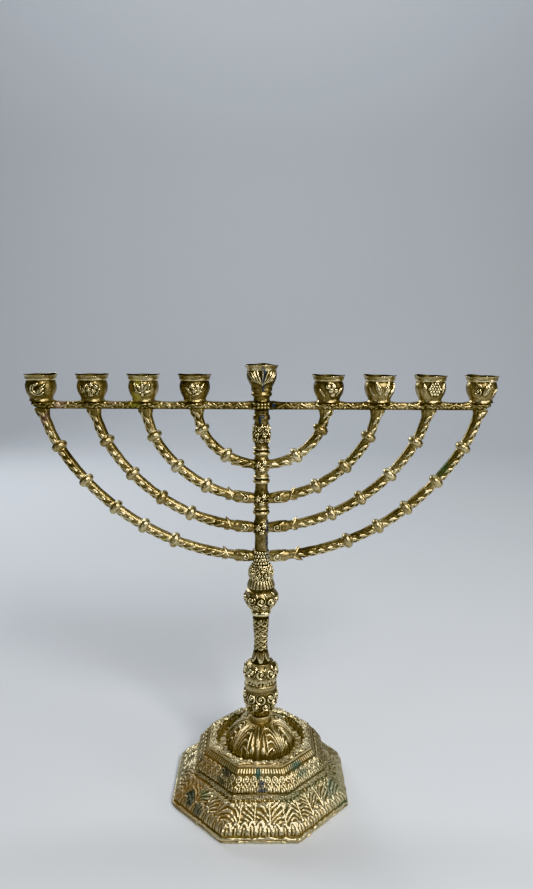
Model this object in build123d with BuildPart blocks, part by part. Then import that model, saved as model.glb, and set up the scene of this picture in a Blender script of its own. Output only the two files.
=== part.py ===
"""Nine-branched candelabrum in cast brass: an octagonal hollow base, a turned and cast stem strung on a
tie rod, a column with four pairs of curved arms, a crossbar, eight candle cups in a row and a raised
centre cup.

Millimetres. +Z is up, the front faces -Y, and the origin is the centre of the base's underside.
"""

import math
import os
from itertools import pairwise

from build123d import *

# ---- Driving dimensions -----------------------------------------------------------------------------

# Candle row
INNER_CUP_X = 38.0
CUP_PITCH = 29.0
BAR_BOTTOM = 235.8
BAR_TOP = 240.8
BAR_DEPTH = 6.0
BAR_END_X = 131.0
BAR_DISC_R = 6.5
BAR_BOSS_R = 6.6

# Candle cups: heights are above the cup's own foot
CUP_OUTLINE = [(0.0, 6.0), (1.9, 7.25), (4.4, 8.35), (7.8, 8.95), (12.2, 8.35), (14.6, 9.55)]
SHAMASH_OUTLINE = [(0.0, 6.1), (2.6, 6.35), (8.6, 8.85), (11.9, 8.45), (14.6, 9.55)]
CUP_HEIGHT = 15.4
CUP_LIP_R = 9.2
WELL_R = 6.25
WELL_FLOOR = 4.6
WELL_TOP = 12.2
WELL_MOUTH_R = 8.3
PEG_R = 1.6
PEG_LENGTH = 3.8
SHAMASH_NECK = 5.8
SHAMASH_NECK_R = 4.9

# Arms: each is a circular arc, centred on the column's axis, from the column up to the crossbar
ARM_R = 2.75
ARM_SPREAD = 1.02
ARM_ROOT_X = 4.8
KNUCKLE_R = 4.65
KNUCKLE_FLANGE_R = 3.5
KNUCKLE_HALF_LENGTH = 2.2
KNUCKLE_FLANGE = 0.8
BULB_R = 3.5
BULB_HALF_LENGTH = 5.4
BULB_X = 10.4
THORN_R = 0.95
THORNS = [(0.6, 50.0, 5.4), (-1.7, -24.0, 6.2)]
TENON_R = 1.5
TENON_DEPTH = 1.4
# name: (cup's place in the row, height of the root, angles of the knuckles from straight down, thorn x)
ARMS = {
    "inner": (0, 203.8, (31.0, 62.0), 13.0),
    "third": (1, 183.7, (27.0, 43.6, 61.6), 16.5),
    "second": (2, 166.3, (23.6, 34.3, 46.5, 59.9), 17.5),
    "outer": (3, 148.6, (22.0, 30.4, 38.7, 48.5, 59.0), 19.0),
}

# Column, from its seat on the flower knop to the crossbar
COLUMN_BOTTOM = 144.3
COLUMN_CORE_R = 3.45
COLUMN_TOP_R = 4.4
COLUMN_SPIGOT_R = 2.0
COLUMN_SPIGOT_LENGTH = 8.0
NODE_R = 4.7
NODE_HEIGHT = 8.4
NODE_BOSS_R = 3.1
BEAD_HEIGHTS = (177.0, 195.6, 212.2)
BEAD_R = 4.9
BEAD_HALF_HEIGHT = 2.9
DRUM_BOTTOM = 216.4
DRUM_TOP = 227.4
DRUM_R = 5.2
TOP_RING_HEIGHT = 231.2
TOP_RING_R = 5.25

# Stem pieces: (height, radius) stations of the outer curve, from the bottom up
NECK_TOP = 48.0
LOWER_KNOP = [(48.0, 5.2), (52.9, 9.2), (59.0, 10.35), (64.3, 9.1)]
KNOP_RING_R = 9.75
UPPER_KNOP = [(68.2, 9.3), (74.9, 10.4), (79.4, 8.6), (82.0, 6.6)]
SHAFT = [(82.0, 5.9), (86.9, 4.7), (94.4, 3.9), (109.4, 4.85), (111.6, 5.2)]
SHAFT_RING_R = 5.9
SHAFT_TOP = 114.2
SCROLL_KNOP = [(114.2, 5.6), (117.9, 8.3), (122.6, 10.15), (127.6, 7.5)]
COLLAR_TOP = 134.4
COLLAR_TOP_R = 6.4
COLLAR_WIDE = (129.6, 8.25)
COLLAR_BOTTOM_R = 7.5
FLOWER_KNOP = [(134.4, 6.3), (138.9, 7.5), (144.3, 5.4)]

# Base: (height, corner radius) stations of the octagon, from the ground up
BASE_STATIONS = [(0.0, 57.4), (2.6, 57.4), (3.2, 56.4), (6.5, 55.2), (17.8, 42.8), (22.4, 41.7),
                 (32.2, 33.9), (33.0, 33.3)]
BASE_WALL = 2.3
WELL_RING_R = 26.5
SEAT = 28.0
DOME_R = 20.8
DOME_HEIGHT = 16.6
DOME_WALL = 2.2
NECK_R = 6.3
NECK_BOTTOM = 43.6

# Tie rod and its nut
ROD_R = 2.45
ROD_BORE_R = 2.65
TAP_R = 2.5
ROD_BOTTOM = 17.5
ROD_TOP = 156.0
WASHER_R = 10.0
WASHER_THICK = 1.4
NUT_ACROSS_FLATS = 8.0
NUT_HEIGHT = 4.5

CLEARANCE = 0.05

SIDES = {"left": -1, "right": 1}
BAR_CENTRE = (BAR_BOTTOM + BAR_TOP) / 2

os.makedirs("parts", exist_ok=True)


def save(piece, name):
    """Label a finished piece and write its STEP file."""
    piece.part.label = name
    export_step(piece.part, f"parts/{name}.step")


def cup_x(place):
    """Distance of a cup from the column's axis, counted from the innermost."""
    return INNER_CUP_X + place * CUP_PITCH


# ---- Turned pieces of the stem ----------------------------------------------------------------------

def turned(outline, bore_r):
    """A piece turned about the Z axis: a smooth outer curve through (height, radius), bored through."""
    with BuildPart() as piece:
        with BuildSketch(Plane.XZ):
            with BuildLine():
                side = Spline(*[(radius, height) for height, radius in outline])
                Polyline(side @ 1, (bore_r, outline[-1][0]), (bore_r, outline[0][0]), side @ 0)
            make_face()
        revolve(axis=Axis.Z)
    return piece


def stem_shaft():
    """Waisted shaft with a plain ring at its top."""
    with BuildPart() as piece:
        with BuildSketch(Plane.XZ):
            with BuildLine():
                side = Spline(*[(radius, height) for height, radius in SHAFT])
                ring_side = ThreePointArc(side @ 1, (SHAFT_RING_R, (SHAFT[-1][0] + SHAFT_TOP) / 2),
                                          (SHAFT[-1][1], SHAFT_TOP))
                Polyline(ring_side @ 1, (ROD_BORE_R, SHAFT_TOP), (ROD_BORE_R, SHAFT[0][0]), side @ 0)
            make_face()
        revolve(axis=Axis.Z)
    return piece


def fluted_collar():
    """Collar that flares downwards to a turned-in lower edge."""
    bottom = SCROLL_KNOP[-1][0]
    with BuildPart() as piece:
        with BuildSketch(Plane.XZ):
            with BuildLine():
                side = ThreePointArc((COLLAR_BOTTOM_R, bottom), (COLLAR_WIDE[1], COLLAR_WIDE[0]),
                                     (COLLAR_TOP_R, COLLAR_TOP))
                Polyline(side @ 1, (ROD_BORE_R, COLLAR_TOP), (ROD_BORE_R, bottom), side @ 0)
            make_face()
        revolve(axis=Axis.Z)
    return piece


def knop_ring():
    """Rounded band between the two lower knops."""
    bottom, top = LOWER_KNOP[-1][0], UPPER_KNOP[0][0]
    with BuildPart() as piece:
        with Locations((0, 0, bottom)):
            Cylinder(KNOP_RING_R, top - bottom, align=(Align.CENTER, Align.CENTER, Align.MIN))
        fillet(piece.edges(), 1.2)
        Cylinder(ROD_BORE_R, 4 * top, mode=Mode.SUBTRACT)
    return piece


# ---- Base -------------------------------------------------------------------------------------------

def octagon_stack(stations):
    """Solid through level octagons, each with a flat side towards the front."""
    with BuildPart() as stack:
        for (low, low_r), (high, high_r) in pairwise(stations):
            with BuildSketch(Plane.XY.offset(low)):
                RegularPolygon(low_r, 8, rotation=22.5)
            with BuildSketch(Plane.XY.offset(high)):
                RegularPolygon(high_r, 8, rotation=22.5)
            loft(ruled=True)
    return stack


def octagonal_base():
    """Hollow two-tiered base with a round well in its top for the domed foot."""
    outside = octagon_stack(BASE_STATIONS)
    inside_stations = [(0.0, BASE_STATIONS[0][1] - 2 * BASE_WALL)]
    for height, radius in BASE_STATIONS[3:]:
        inside_stations.append((height - BASE_WALL, radius - BASE_WALL))
    cavity = octagon_stack(inside_stations)
    with BuildPart() as cavity_ring:
        add(cavity.part)
        with Locations((0, 0, SEAT - BASE_WALL)):
            Cylinder(WELL_RING_R + BASE_WALL, 20, mode=Mode.SUBTRACT,
                     align=(Align.CENTER, Align.CENTER, Align.MIN))
    with BuildPart() as piece:
        add(outside.part)
        add(cavity_ring.part, mode=Mode.SUBTRACT)
        with Locations((0, 0, SEAT)):
            Cylinder(WELL_RING_R, 20, mode=Mode.SUBTRACT,
                     align=(Align.CENTER, Align.CENTER, Align.MIN))
        Cylinder(ROD_BORE_R, 4 * SEAT, mode=Mode.SUBTRACT)
    return piece


def domed_foot():
    """Hollow elliptical dome that stands in the base's well and carries a short neck."""
    with BuildPart() as piece:
        with BuildSketch(Plane.XZ):
            with Locations((0, SEAT)):
                Ellipse(DOME_R, DOME_HEIGHT)
                Ellipse(DOME_R - DOME_WALL, DOME_HEIGHT - DOME_WALL, mode=Mode.SUBTRACT)
            with Locations((NECK_R / 2, (NECK_BOTTOM + NECK_TOP) / 2 - 1.0)):
                Rectangle(NECK_R, NECK_TOP - NECK_BOTTOM + 2.0)
            with Locations((0, SEAT)):
                Rectangle(4 * DOME_R, 4 * DOME_R, align=(Align.CENTER, Align.MAX), mode=Mode.SUBTRACT)
            Rectangle(ROD_BORE_R, 4 * NECK_TOP, align=(Align.MIN, Align.CENTER), mode=Mode.SUBTRACT)
            Rectangle(4 * DOME_R, 4 * NECK_TOP, align=(Align.MAX, Align.CENTER), mode=Mode.SUBTRACT)
        revolve(axis=Axis.Z)
        fillet(piece.edges().group_by(Axis.Z)[-1].sort_by(SortBy.RADIUS)[-1], 1.2)
    return piece


# ---- Column -----------------------------------------------------------------------------------------

def centre_column():
    """Column with a boss for each pair of arms, beads between them and a spigot for the centre cup."""
    with BuildPart() as piece:
        with Locations((0, 0, COLUMN_BOTTOM)):
            Cylinder(COLUMN_CORE_R, BAR_BOTTOM - COLUMN_BOTTOM,
                     align=(Align.CENTER, Align.CENTER, Align.MIN))
            Cone(NODE_R, COLUMN_CORE_R, 6.0, align=(Align.CENTER, Align.CENTER, Align.MIN))
        with Locations((0, 0, DRUM_TOP - 1)):
            Cylinder(COLUMN_TOP_R, BAR_BOTTOM - DRUM_TOP + 1, align=(Align.CENTER, Align.CENTER, Align.MIN))
        with Locations((0, 0, BAR_BOTTOM)):
            Cylinder(COLUMN_SPIGOT_R, COLUMN_SPIGOT_LENGTH, align=(Align.CENTER, Align.CENTER, Align.MIN))
        for place, root, knuckles, thorn_x in ARMS.values():
            with Locations((0, 0, root)):
                Cylinder(NODE_R, NODE_HEIGHT)
                Cylinder(NODE_BOSS_R, 2 * ARM_ROOT_X, rotation=(0, 90, 0))
        with BuildSketch(Plane.XZ):
            for height in BEAD_HEIGHTS:
                with BuildLine():
                    bulge = ThreePointArc((COLUMN_CORE_R - 1, height - BEAD_HALF_HEIGHT), (BEAD_R, height),
                                          (COLUMN_CORE_R - 1, height + BEAD_HALF_HEIGHT))
                    Line(bulge @ 1, bulge @ 0)
                make_face()
            with BuildLine():
                drum = ThreePointArc((COLUMN_CORE_R + 0.4, DRUM_BOTTOM), (DRUM_R, (DRUM_BOTTOM + DRUM_TOP) / 2),
                                     (COLUMN_TOP_R, DRUM_TOP))
                Line(drum @ 1, drum @ 0)
            make_face()
        revolve(axis=Axis.Z)
        with Locations((0, 0, TOP_RING_HEIGHT)):
            Torus(TOP_RING_R - 1.6, 1.6)
        with Locations((0, 0, COLUMN_BOTTOM)):
            Cylinder(TAP_R, ROD_TOP - COLUMN_BOTTOM + 1.5, mode=Mode.SUBTRACT,
                     align=(Align.CENTER, Align.CENTER, Align.MIN))
        for place, root, knuckles, thorn_x in ARMS.values():
            for side in SIDES.values():
                with Locations((side * ARM_ROOT_X, 0, root)):
                    Cylinder(TENON_R + CLEARANCE, 2 * (TENON_DEPTH + CLEARANCE), rotation=(0, 90, 0),
                             mode=Mode.SUBTRACT)
    return piece


# ---- Arms -------------------------------------------------------------------------------------------

def arm_circle(place, root):
    """Radius and centre height of the circle through an arm's root and its end on the crossbar."""
    reach = ARM_SPREAD * cup_x(place)
    rise = BAR_CENTRE - root
    radius = (reach**2 + rise**2) / (2 * rise)
    return radius, root + radius


def arm(side, place, root, knuckles, thorn_x):
    """Curved arm with ring knuckles, a pair of thorns, two tenons and, on all but the inner arms, a
    swelling at the root."""
    radius, centre = arm_circle(place, root)
    across = Axis((0, 0, centre), (0, -side, 0))

    def section(angle):
        """Plane across the arm at an angle from straight down, facing away from the column."""
        turn = math.radians(angle)
        return Plane((side * radius * math.sin(turn), 0, centre - radius * math.cos(turn)),
                     x_dir=(0, 1, 0), z_dir=(side * math.cos(turn), 0, math.sin(turn)))

    def lengthwise(across_plane):
        """Upright plane through the arm's centre line, its X along the arm."""
        return Plane(across_plane.origin, x_dir=across_plane.z_dir, z_dir=(0, -1, 0))

    def angle_at(x):
        return math.degrees(math.asin(x / radius))

    tip_angle = math.degrees(math.acos((centre - BAR_CENTRE) / radius))
    bulb = section(angle_at(BULB_X))
    thorn = section(angle_at(thorn_x))
    end_x = radius * math.sin(math.acos((centre - BAR_BOTTOM) / radius))
    root_height = centre - math.sqrt(radius**2 - ARM_ROOT_X**2)
    with BuildPart() as piece:
        with BuildSketch(section(0)):
            Circle(ARM_R)
        revolve(axis=across, revolution_arc=tip_angle)
        for angle in knuckles:
            knuckle = section(angle)
            with BuildSketch(lengthwise(knuckle)):
                with BuildLine():
                    flange = (KNUCKLE_HALF_LENGTH - KNUCKLE_FLANGE, KNUCKLE_FLANGE_R)
                    ring = ThreePointArc((-flange[0], flange[1]), (0, KNUCKLE_R), flange)
                    Polyline(ring @ 1, (KNUCKLE_HALF_LENGTH, flange[1]), (KNUCKLE_HALF_LENGTH, 0),
                             (-KNUCKLE_HALF_LENGTH, 0), (-KNUCKLE_HALF_LENGTH, flange[1]), ring @ 0)
                make_face()
            revolve(axis=Axis(knuckle.origin, knuckle.z_dir))
        if place > 0:
            with BuildSketch(lengthwise(bulb)):
                with BuildLine():
                    crown = ThreePointArc((-BULB_HALF_LENGTH, ARM_R - 0.4), (0, BULB_R),
                                          (BULB_HALF_LENGTH, ARM_R - 0.4))
                    Polyline(crown @ 1, (BULB_HALF_LENGTH, 0), (-BULB_HALF_LENGTH, 0), crown @ 0)
                make_face()
            revolve(axis=Axis(bulb.origin, bulb.z_dir))
        for rise, lean, length in THORNS:
            direction = thorn.z_dir.rotate(Axis.Y, -side * lean)
            foot = thorn.origin + thorn.z_dir.rotate(Axis.Y, -side * 90) * rise
            with Locations(Plane(foot, x_dir=(0, 1, 0), z_dir=direction)):
                Cone(THORN_R, 0.25, length, align=(Align.CENTER, Align.CENTER, Align.MIN))
        split(bisect_by=Plane.YZ.offset(side * ARM_ROOT_X), keep=Keep.TOP if side > 0 else Keep.BOTTOM)
        split(bisect_by=Plane.XY.offset(BAR_BOTTOM), keep=Keep.BOTTOM)
        with Locations((side * ARM_ROOT_X, 0, root)):
            Cylinder(TENON_R, 2 * TENON_DEPTH, rotation=(0, 90, 0))
        with Locations((side * end_x, 0, BAR_BOTTOM)):
            Cylinder(TENON_R, 2 * TENON_DEPTH)
    return piece, end_x, root_height


# ---- Crossbar and cups ------------------------------------------------------------------------------

def crossbar(arm_ends):
    """Rounded bar with a disc under each cup, a boss over the column, and holes for pegs and tenons."""
    cup_places = [(side * cup_x(place), 0) for side in SIDES.values() for place in range(len(ARMS))]
    with BuildPart() as piece:
        with BuildSketch(Plane.XY.offset(BAR_BOTTOM)):
            SlotOverall(2 * BAR_END_X, BAR_DEPTH)
        extrude(amount=BAR_TOP - BAR_BOTTOM)
        fillet(piece.edges().filter_by(GeomType.LINE).filter_by(Axis.X), 1.6)
        with BuildSketch(Plane.XY.offset(BAR_TOP - 2.2)):
            with Locations(*cup_places):
                Circle(BAR_DISC_R)
        extrude(amount=2.2)
        with BuildSketch(Plane.XY.offset(BAR_BOTTOM)):
            Circle(BAR_BOSS_R)
        extrude(amount=BAR_TOP - BAR_BOTTOM)
        with BuildSketch(Plane.XY.offset(BAR_TOP)):
            with Locations(*cup_places):
                Circle(PEG_R + CLEARANCE)
        extrude(amount=-(PEG_LENGTH - 0.6 + CLEARANCE), mode=Mode.SUBTRACT)
        with BuildSketch(Plane.XY.offset(BAR_BOTTOM)):
            with Locations(*[(x, 0) for x in arm_ends]):
                Circle(TENON_R + CLEARANCE)
        extrude(amount=TENON_DEPTH + CLEARANCE, mode=Mode.SUBTRACT)
        Cylinder(COLUMN_SPIGOT_R + CLEARANCE, 4 * BAR_TOP, mode=Mode.SUBTRACT)
    return piece


def candle_cup(x, foot, outline, neck_height=0.0):
    """Cup with a candle well and a flared lip. A side cup has a peg; a raised one a necked foot."""
    with BuildPart() as piece:
        with BuildSketch(Plane.XZ):
            with BuildLine():
                side = Spline(*[(radius, foot + height) for height, radius in outline])
                Polyline(side @ 1, (CUP_LIP_R, foot + CUP_HEIGHT), (WELL_MOUTH_R, foot + CUP_HEIGHT),
                         (WELL_R, foot + WELL_TOP), (WELL_R, foot + WELL_FLOOR),
                         (0, foot + WELL_FLOOR), (0, foot), side @ 0)
            make_face()
        revolve(axis=Axis.Z)
        with Locations((0, 0, foot - neck_height)):
            if neck_height:
                Cylinder(SHAMASH_NECK_R, neck_height, align=(Align.CENTER, Align.CENTER, Align.MIN))
                Cylinder(COLUMN_SPIGOT_R + CLEARANCE, 2 * 3.4, mode=Mode.SUBTRACT)
            else:
                Cylinder(PEG_R, PEG_LENGTH - 0.6, align=(Align.CENTER, Align.CENTER, Align.MAX))
        if neck_height:
            with Locations((0, 0, foot - 1.8)):
                Torus(outline[0][1] - 1.3, 1.3)
    piece.part.position = (x, 0, 0)
    return piece


# ---- Tie rod ----------------------------------------------------------------------------------------

def tie_rod():
    """Rod that strings the base, the stem pieces and the column together."""
    with BuildPart() as piece:
        with Locations((0, 0, ROD_BOTTOM)):
            Cylinder(ROD_R, ROD_TOP - ROD_BOTTOM, align=(Align.CENTER, Align.CENTER, Align.MIN))
        chamfer(piece.edges(), 0.6)
    return piece


def washer():
    """Broad washer under the well's floor."""
    with BuildPart() as piece:
        with Locations((0, 0, SEAT - BASE_WALL)):
            Cylinder(WASHER_R, WASHER_THICK, align=(Align.CENTER, Align.CENTER, Align.MAX))
            Cylinder(ROD_BORE_R, 3 * WASHER_THICK, mode=Mode.SUBTRACT)
    return piece


def hex_nut():
    """Nut on the rod's lower end, below the washer."""
    top = SEAT - BASE_WALL - WASHER_THICK
    with BuildPart() as piece:
        with BuildSketch(Plane.XY.offset(top - NUT_HEIGHT)):
            RegularPolygon(NUT_ACROSS_FLATS / 2, 6, major_radius=False)
            Circle(TAP_R, mode=Mode.SUBTRACT)
        extrude(amount=NUT_HEIGHT)
    return piece


# ---- The whole candelabrum --------------------------------------------------------------------------

save(octagonal_base(), "octagonal_base")
save(domed_foot(), "domed_foot")
save(turned(LOWER_KNOP, ROD_BORE_R), "lower_knop")
save(knop_ring(), "knop_ring")
save(turned(UPPER_KNOP, ROD_BORE_R), "upper_knop")
save(stem_shaft(), "stem_shaft")
save(turned(SCROLL_KNOP, ROD_BORE_R), "scroll_knop")
save(fluted_collar(), "fluted_collar")
save(turned(FLOWER_KNOP, ROD_BORE_R), "flower_knop")
save(centre_column(), "centre_column")

ends = []
for side_name, side in SIDES.items():
    for arm_name, (place, root, knuckles, thorn_x) in ARMS.items():
        branch, end_x, root_height = arm(side, place, root, knuckles, thorn_x)
        ends.append(side * end_x)
        save(branch, f"arm_{side_name}_{arm_name}")
        save(candle_cup(side * cup_x(place), BAR_TOP, CUP_OUTLINE), f"cup_{side_name}_{arm_name}")

save(crossbar(ends), "crossbar")
save(candle_cup(0, BAR_TOP + SHAMASH_NECK, SHAMASH_OUTLINE, SHAMASH_NECK), "shamash_cup")
save(tie_rod(), "tie_rod")
save(washer(), "washer")
save(hex_nut(), "hex_nut")
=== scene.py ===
"""Looks for the brass menorah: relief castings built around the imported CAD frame.

Every casting is a fine grid that follows the CAD's outer shape, pushed out by a height map of ornament.
Lengths in this script are millimetres until grid_mesh() turns them into metres.
"""

import math
from itertools import pairwise

import bpy
import numpy as np
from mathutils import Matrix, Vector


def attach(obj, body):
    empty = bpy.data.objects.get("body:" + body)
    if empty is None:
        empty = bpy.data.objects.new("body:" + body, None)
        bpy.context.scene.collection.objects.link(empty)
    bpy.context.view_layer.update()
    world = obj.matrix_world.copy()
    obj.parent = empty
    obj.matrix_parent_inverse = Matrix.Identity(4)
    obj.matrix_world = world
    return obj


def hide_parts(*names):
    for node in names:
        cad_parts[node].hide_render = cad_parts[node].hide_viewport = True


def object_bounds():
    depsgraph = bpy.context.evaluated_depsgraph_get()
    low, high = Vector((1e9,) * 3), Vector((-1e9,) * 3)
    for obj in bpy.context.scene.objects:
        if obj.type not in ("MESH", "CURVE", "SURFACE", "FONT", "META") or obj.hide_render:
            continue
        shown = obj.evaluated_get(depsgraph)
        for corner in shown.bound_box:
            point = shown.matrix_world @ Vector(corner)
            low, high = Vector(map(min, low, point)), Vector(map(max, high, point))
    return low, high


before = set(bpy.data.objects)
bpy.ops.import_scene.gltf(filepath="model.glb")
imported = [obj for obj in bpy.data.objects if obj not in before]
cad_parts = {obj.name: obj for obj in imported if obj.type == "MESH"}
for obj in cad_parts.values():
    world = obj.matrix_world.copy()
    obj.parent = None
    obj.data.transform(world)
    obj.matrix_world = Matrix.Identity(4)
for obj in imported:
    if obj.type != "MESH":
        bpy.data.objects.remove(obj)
cad_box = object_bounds()

MM = 0.001
TAU = 2 * math.pi

# ---- Noise and small curves


def smoothstep(low, high, x):
    t = np.clip((x - low) / (high - low), 0, 1)
    return t * t * (3 - 2 * t)


def zigzag(i):
    """-1 for even steps and 1 for odd ones."""
    return 1 if i % 2 else -1


def face_steps(count):
    """Number and place of evenly spaced steps across one face of the octagon, from -1 to 1."""
    return [(i, -1 + (i + 0.5) * 2 / count) for i in range(count)]


def between(low, high, x, soft):
    """1 between two limits and 0 outside them, with soft edges."""
    return smoothstep(low - soft, low + soft, x) * smoothstep(high + soft, high - soft, x)


def value_noise(points, size, seed):
    """Smooth noise from -1 to 1 at points (..., 3), with lumps about size across."""
    p = points / size + 31.7 * (seed + 1)
    cell = np.floor(p).astype(np.int64)
    f = p - cell
    f = f * f * (3 - 2 * f)
    total = np.zeros(points.shape[:-1])
    for corner in range(8):
        step = np.array([corner & 1, corner >> 1 & 1, corner >> 2 & 1])
        n = ((cell + step) * np.array([374761393, 668265263, 2147483647])).sum(-1) + seed * 144665
        n = (n ^ (n >> 13)) * 1274126177 & 0x7FFFFFFF
        weight = np.where(step == 1, f, 1 - f).prod(-1)
        total += weight * (n / 0x7FFFFFFF * 2 - 1)
    return total


def curve_through(points, step):
    """Evenly spaced points along a smooth curve through the given ones; a repeated point is a corner."""
    runs, run = [], [points[0]]
    for before, here in pairwise(points):
        if here == before:
            runs.append(run)
            run = []
        run.append(here)
    runs.append(run)
    out = []
    for run in runs:
        p = np.array(run, float)
        if len(p) > 2:
            ends = np.vstack([2 * p[0] - p[1], p, 2 * p[-1] - p[-2]])
            t = np.linspace(0, 1, 24, endpoint=False)[:, None]
            pieces = []
            for i in range(len(p) - 1):
                a, b, c, d = ends[i:i + 4]
                pieces.append(0.5 * (2 * b + (c - a) * t + (2 * a - 5 * b + 4 * c - d) * t**2
                                     + (3 * b - a - 3 * c + d) * t**3))
            p = np.vstack(pieces + [p[-1:]])
        lengths = np.r_[0, np.cumsum(np.hypot(*np.diff(p[:, :2], axis=0).T))]
        count = max(2, int(round(lengths[-1] / step)) + 1)
        at = np.linspace(0, lengths[-1], count)
        line = np.stack([np.interp(at, lengths, p[:, k]) for k in range(p.shape[1])], 1)
        out.append(line if not out else line[1:])
    return np.vstack(out)


# ---- Motifs: heights from 0 to 1 over a unit square, (u, v) from -1 to 1


def ridge(x, width):
    """Soft ridge of height 1 where x is 0."""
    return np.exp(-((x / width) ** 2))


def dome(x):
    """Quarter circle: 1 where x is 0, and 0 from 1 on."""
    return np.sqrt(np.clip(1 - x**2, 0, None))


def bead(u, v):
    return np.sqrt(np.clip(1 - u * u - v * v, 0, None))


def stroke(u, v, path, width):
    """Rounded ridge along a path of points."""
    nearest = np.full(np.shape(u), 9.0)
    for (ax, ay), (bx, by) in pairwise(path):
        dx, dy = bx - ax, by - ay
        t = np.clip(((u - ax) * dx + (v - ay) * dy) / (dx * dx + dy * dy), 0, 1)
        nearest = np.minimum(nearest, np.hypot(u - ax - t * dx, v - ay - t * dy))
    return dome(nearest / width)


def volute(u, v, turns=1.45):
    """Spiral ridge that winds in to a round eye."""
    rho = np.hypot(u, v)
    phase = (rho * turns - np.arctan2(v, u) / TAU) % 1 - 0.5
    coil = dome(phase / 0.29) * smoothstep(1.02, 0.9, rho)
    return np.maximum(coil * smoothstep(0.12, 0.3, rho), 1.1 * bead(u / 0.24, v / 0.24))


def leaf(u, v, veins=5, sharp=0.9):
    """Pointed leaf with a rib and side veins, its tip at v = 1."""
    width = 0.62 * np.clip(1 + v, 0, None) ** 0.55 * np.clip(1 - v, 0, None) ** sharp
    inside = np.clip(1 - np.abs(u) / np.maximum(width, 1e-3), 0, 1)
    body = inside**0.45
    vein = 0.5 + 0.5 * np.cos(TAU * veins * (0.5 * v - 0.45 * np.abs(u)))
    rib = ridge(u, 0.09)
    return body * (0.62 + 0.3 * vein * (1 - rib) + 0.38 * rib) * (inside > 0)


def petals(u, v, count=6):
    """Open flower with a domed centre."""
    rho, phi = np.hypot(u, v), np.arctan2(v, u)
    lobe = np.abs(np.cos(phi * count / 2))
    edge = 0.62 + 0.38 * lobe
    body = np.clip(1 - rho / edge, 0, 1) ** 0.4 * (0.45 + 0.5 * lobe)
    return np.maximum(body, 1.05 * bead(u / 0.28, v / 0.28))


def berries(u, v, across=5, drop=0.0):
    """Bunch of touching beads in a round or, with drop, a tapering outline."""
    pitch = 2 / across
    row = np.round(v / (pitch * 0.87))
    shift = (row % 2) * pitch / 2
    column = np.round((u - shift) / pitch)
    cu, cv = column * pitch + shift, row * pitch * 0.87
    reach = np.where(cv < 0, 0.95 + drop * cv, 0.95)
    inside = np.hypot(cu / np.maximum(reach, 0.05), cv) < 0.95
    return inside * bead((u - cu) / (pitch * 0.53), (v - cv) / (pitch * 0.53))


def arch(u, v):
    """Upright pointed arch with a tongue inside, standing on v = -1."""
    top = 1 - np.abs(u) ** 1.6 * 1.1
    wall = stroke(np.abs(u), v, [(0.78, -1), (0.74, -0.1), (0.45, 0.62), (0.0, 0.98)], 0.24)
    tongue = bead(u / 0.34, (v + 0.35) / 0.72)
    return np.where(v < top + 0.3, np.maximum(wall, 0.8 * tongue), 0)


def fold(u, v):
    """Broad hanging fold: a thick arch over a central ridge."""
    wall = stroke(np.abs(u), v, [(0.80, -1), (0.76, 0.0), (0.42, 0.66), (0.0, 0.80)], 0.30)
    return np.maximum(wall, 0.85 * stroke(u, v, [(0.0, -1), (0.0, 0.1)], 0.24))


def feather(u, v):
    """Oval ear with a rib and slanting barbs."""
    width = 0.6 * np.sqrt(np.clip(1 - v * v, 0, None))
    inside = np.clip(1 - np.abs(u) / np.maximum(width, 1e-3), 0, 1)
    barbs = 0.5 + 0.5 * np.cos(TAU * (3.2 * v - 2.2 * np.abs(u)))
    rib = ridge(u, 0.08)
    return inside**0.4 * (0.35 + 0.55 * np.maximum(barbs, rib))


def scale_leaf(u, v):
    """Overlapping scale: a rounded tongue that hangs down, higher at its rounded lower edge."""
    edge = np.hypot(u, np.minimum(v - 0.1, 0) / 0.9)
    raised = np.maximum(ridge(edge - 0.82, 0.16), ridge(u, 0.12) * 0.4)
    return (edge < 1) * (v < 1) * smoothstep(1.0, -0.6, v) * (0.55 + 0.45 * raised)


def s_curve(u, v):
    return stroke(u, v, [(0.75 * math.sin(2.2 * t), 0.95 * t) for t in np.linspace(-1, 1, 13)], 0.22)


def sickle(u, v):
    """Two nested crescents."""
    rho = np.hypot(u - 0.15, v)
    return dome((np.abs(rho - 0.74) - 0.16) / 0.12) * smoothstep(0.45, 0.1, u * 0.8 + v)


def stem_line(u, v):
    """Straight round ridge."""
    return dome(u) * (np.abs(v) < 1)


def berries_drop(u, v):
    return berries(u, v, 5, 0.45)


def loop(u, v):
    """Hanging loop with a drop inside."""
    ring = dome((np.hypot(u / 0.75, (v + 0.1) / 0.8) - 0.9) / 0.26)
    return np.maximum(ring * (v < 0.75), 0.9 * bead(u / 0.34, (v + 0.05) / 0.5))


# ---- Relief: a height map over a surface


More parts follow.
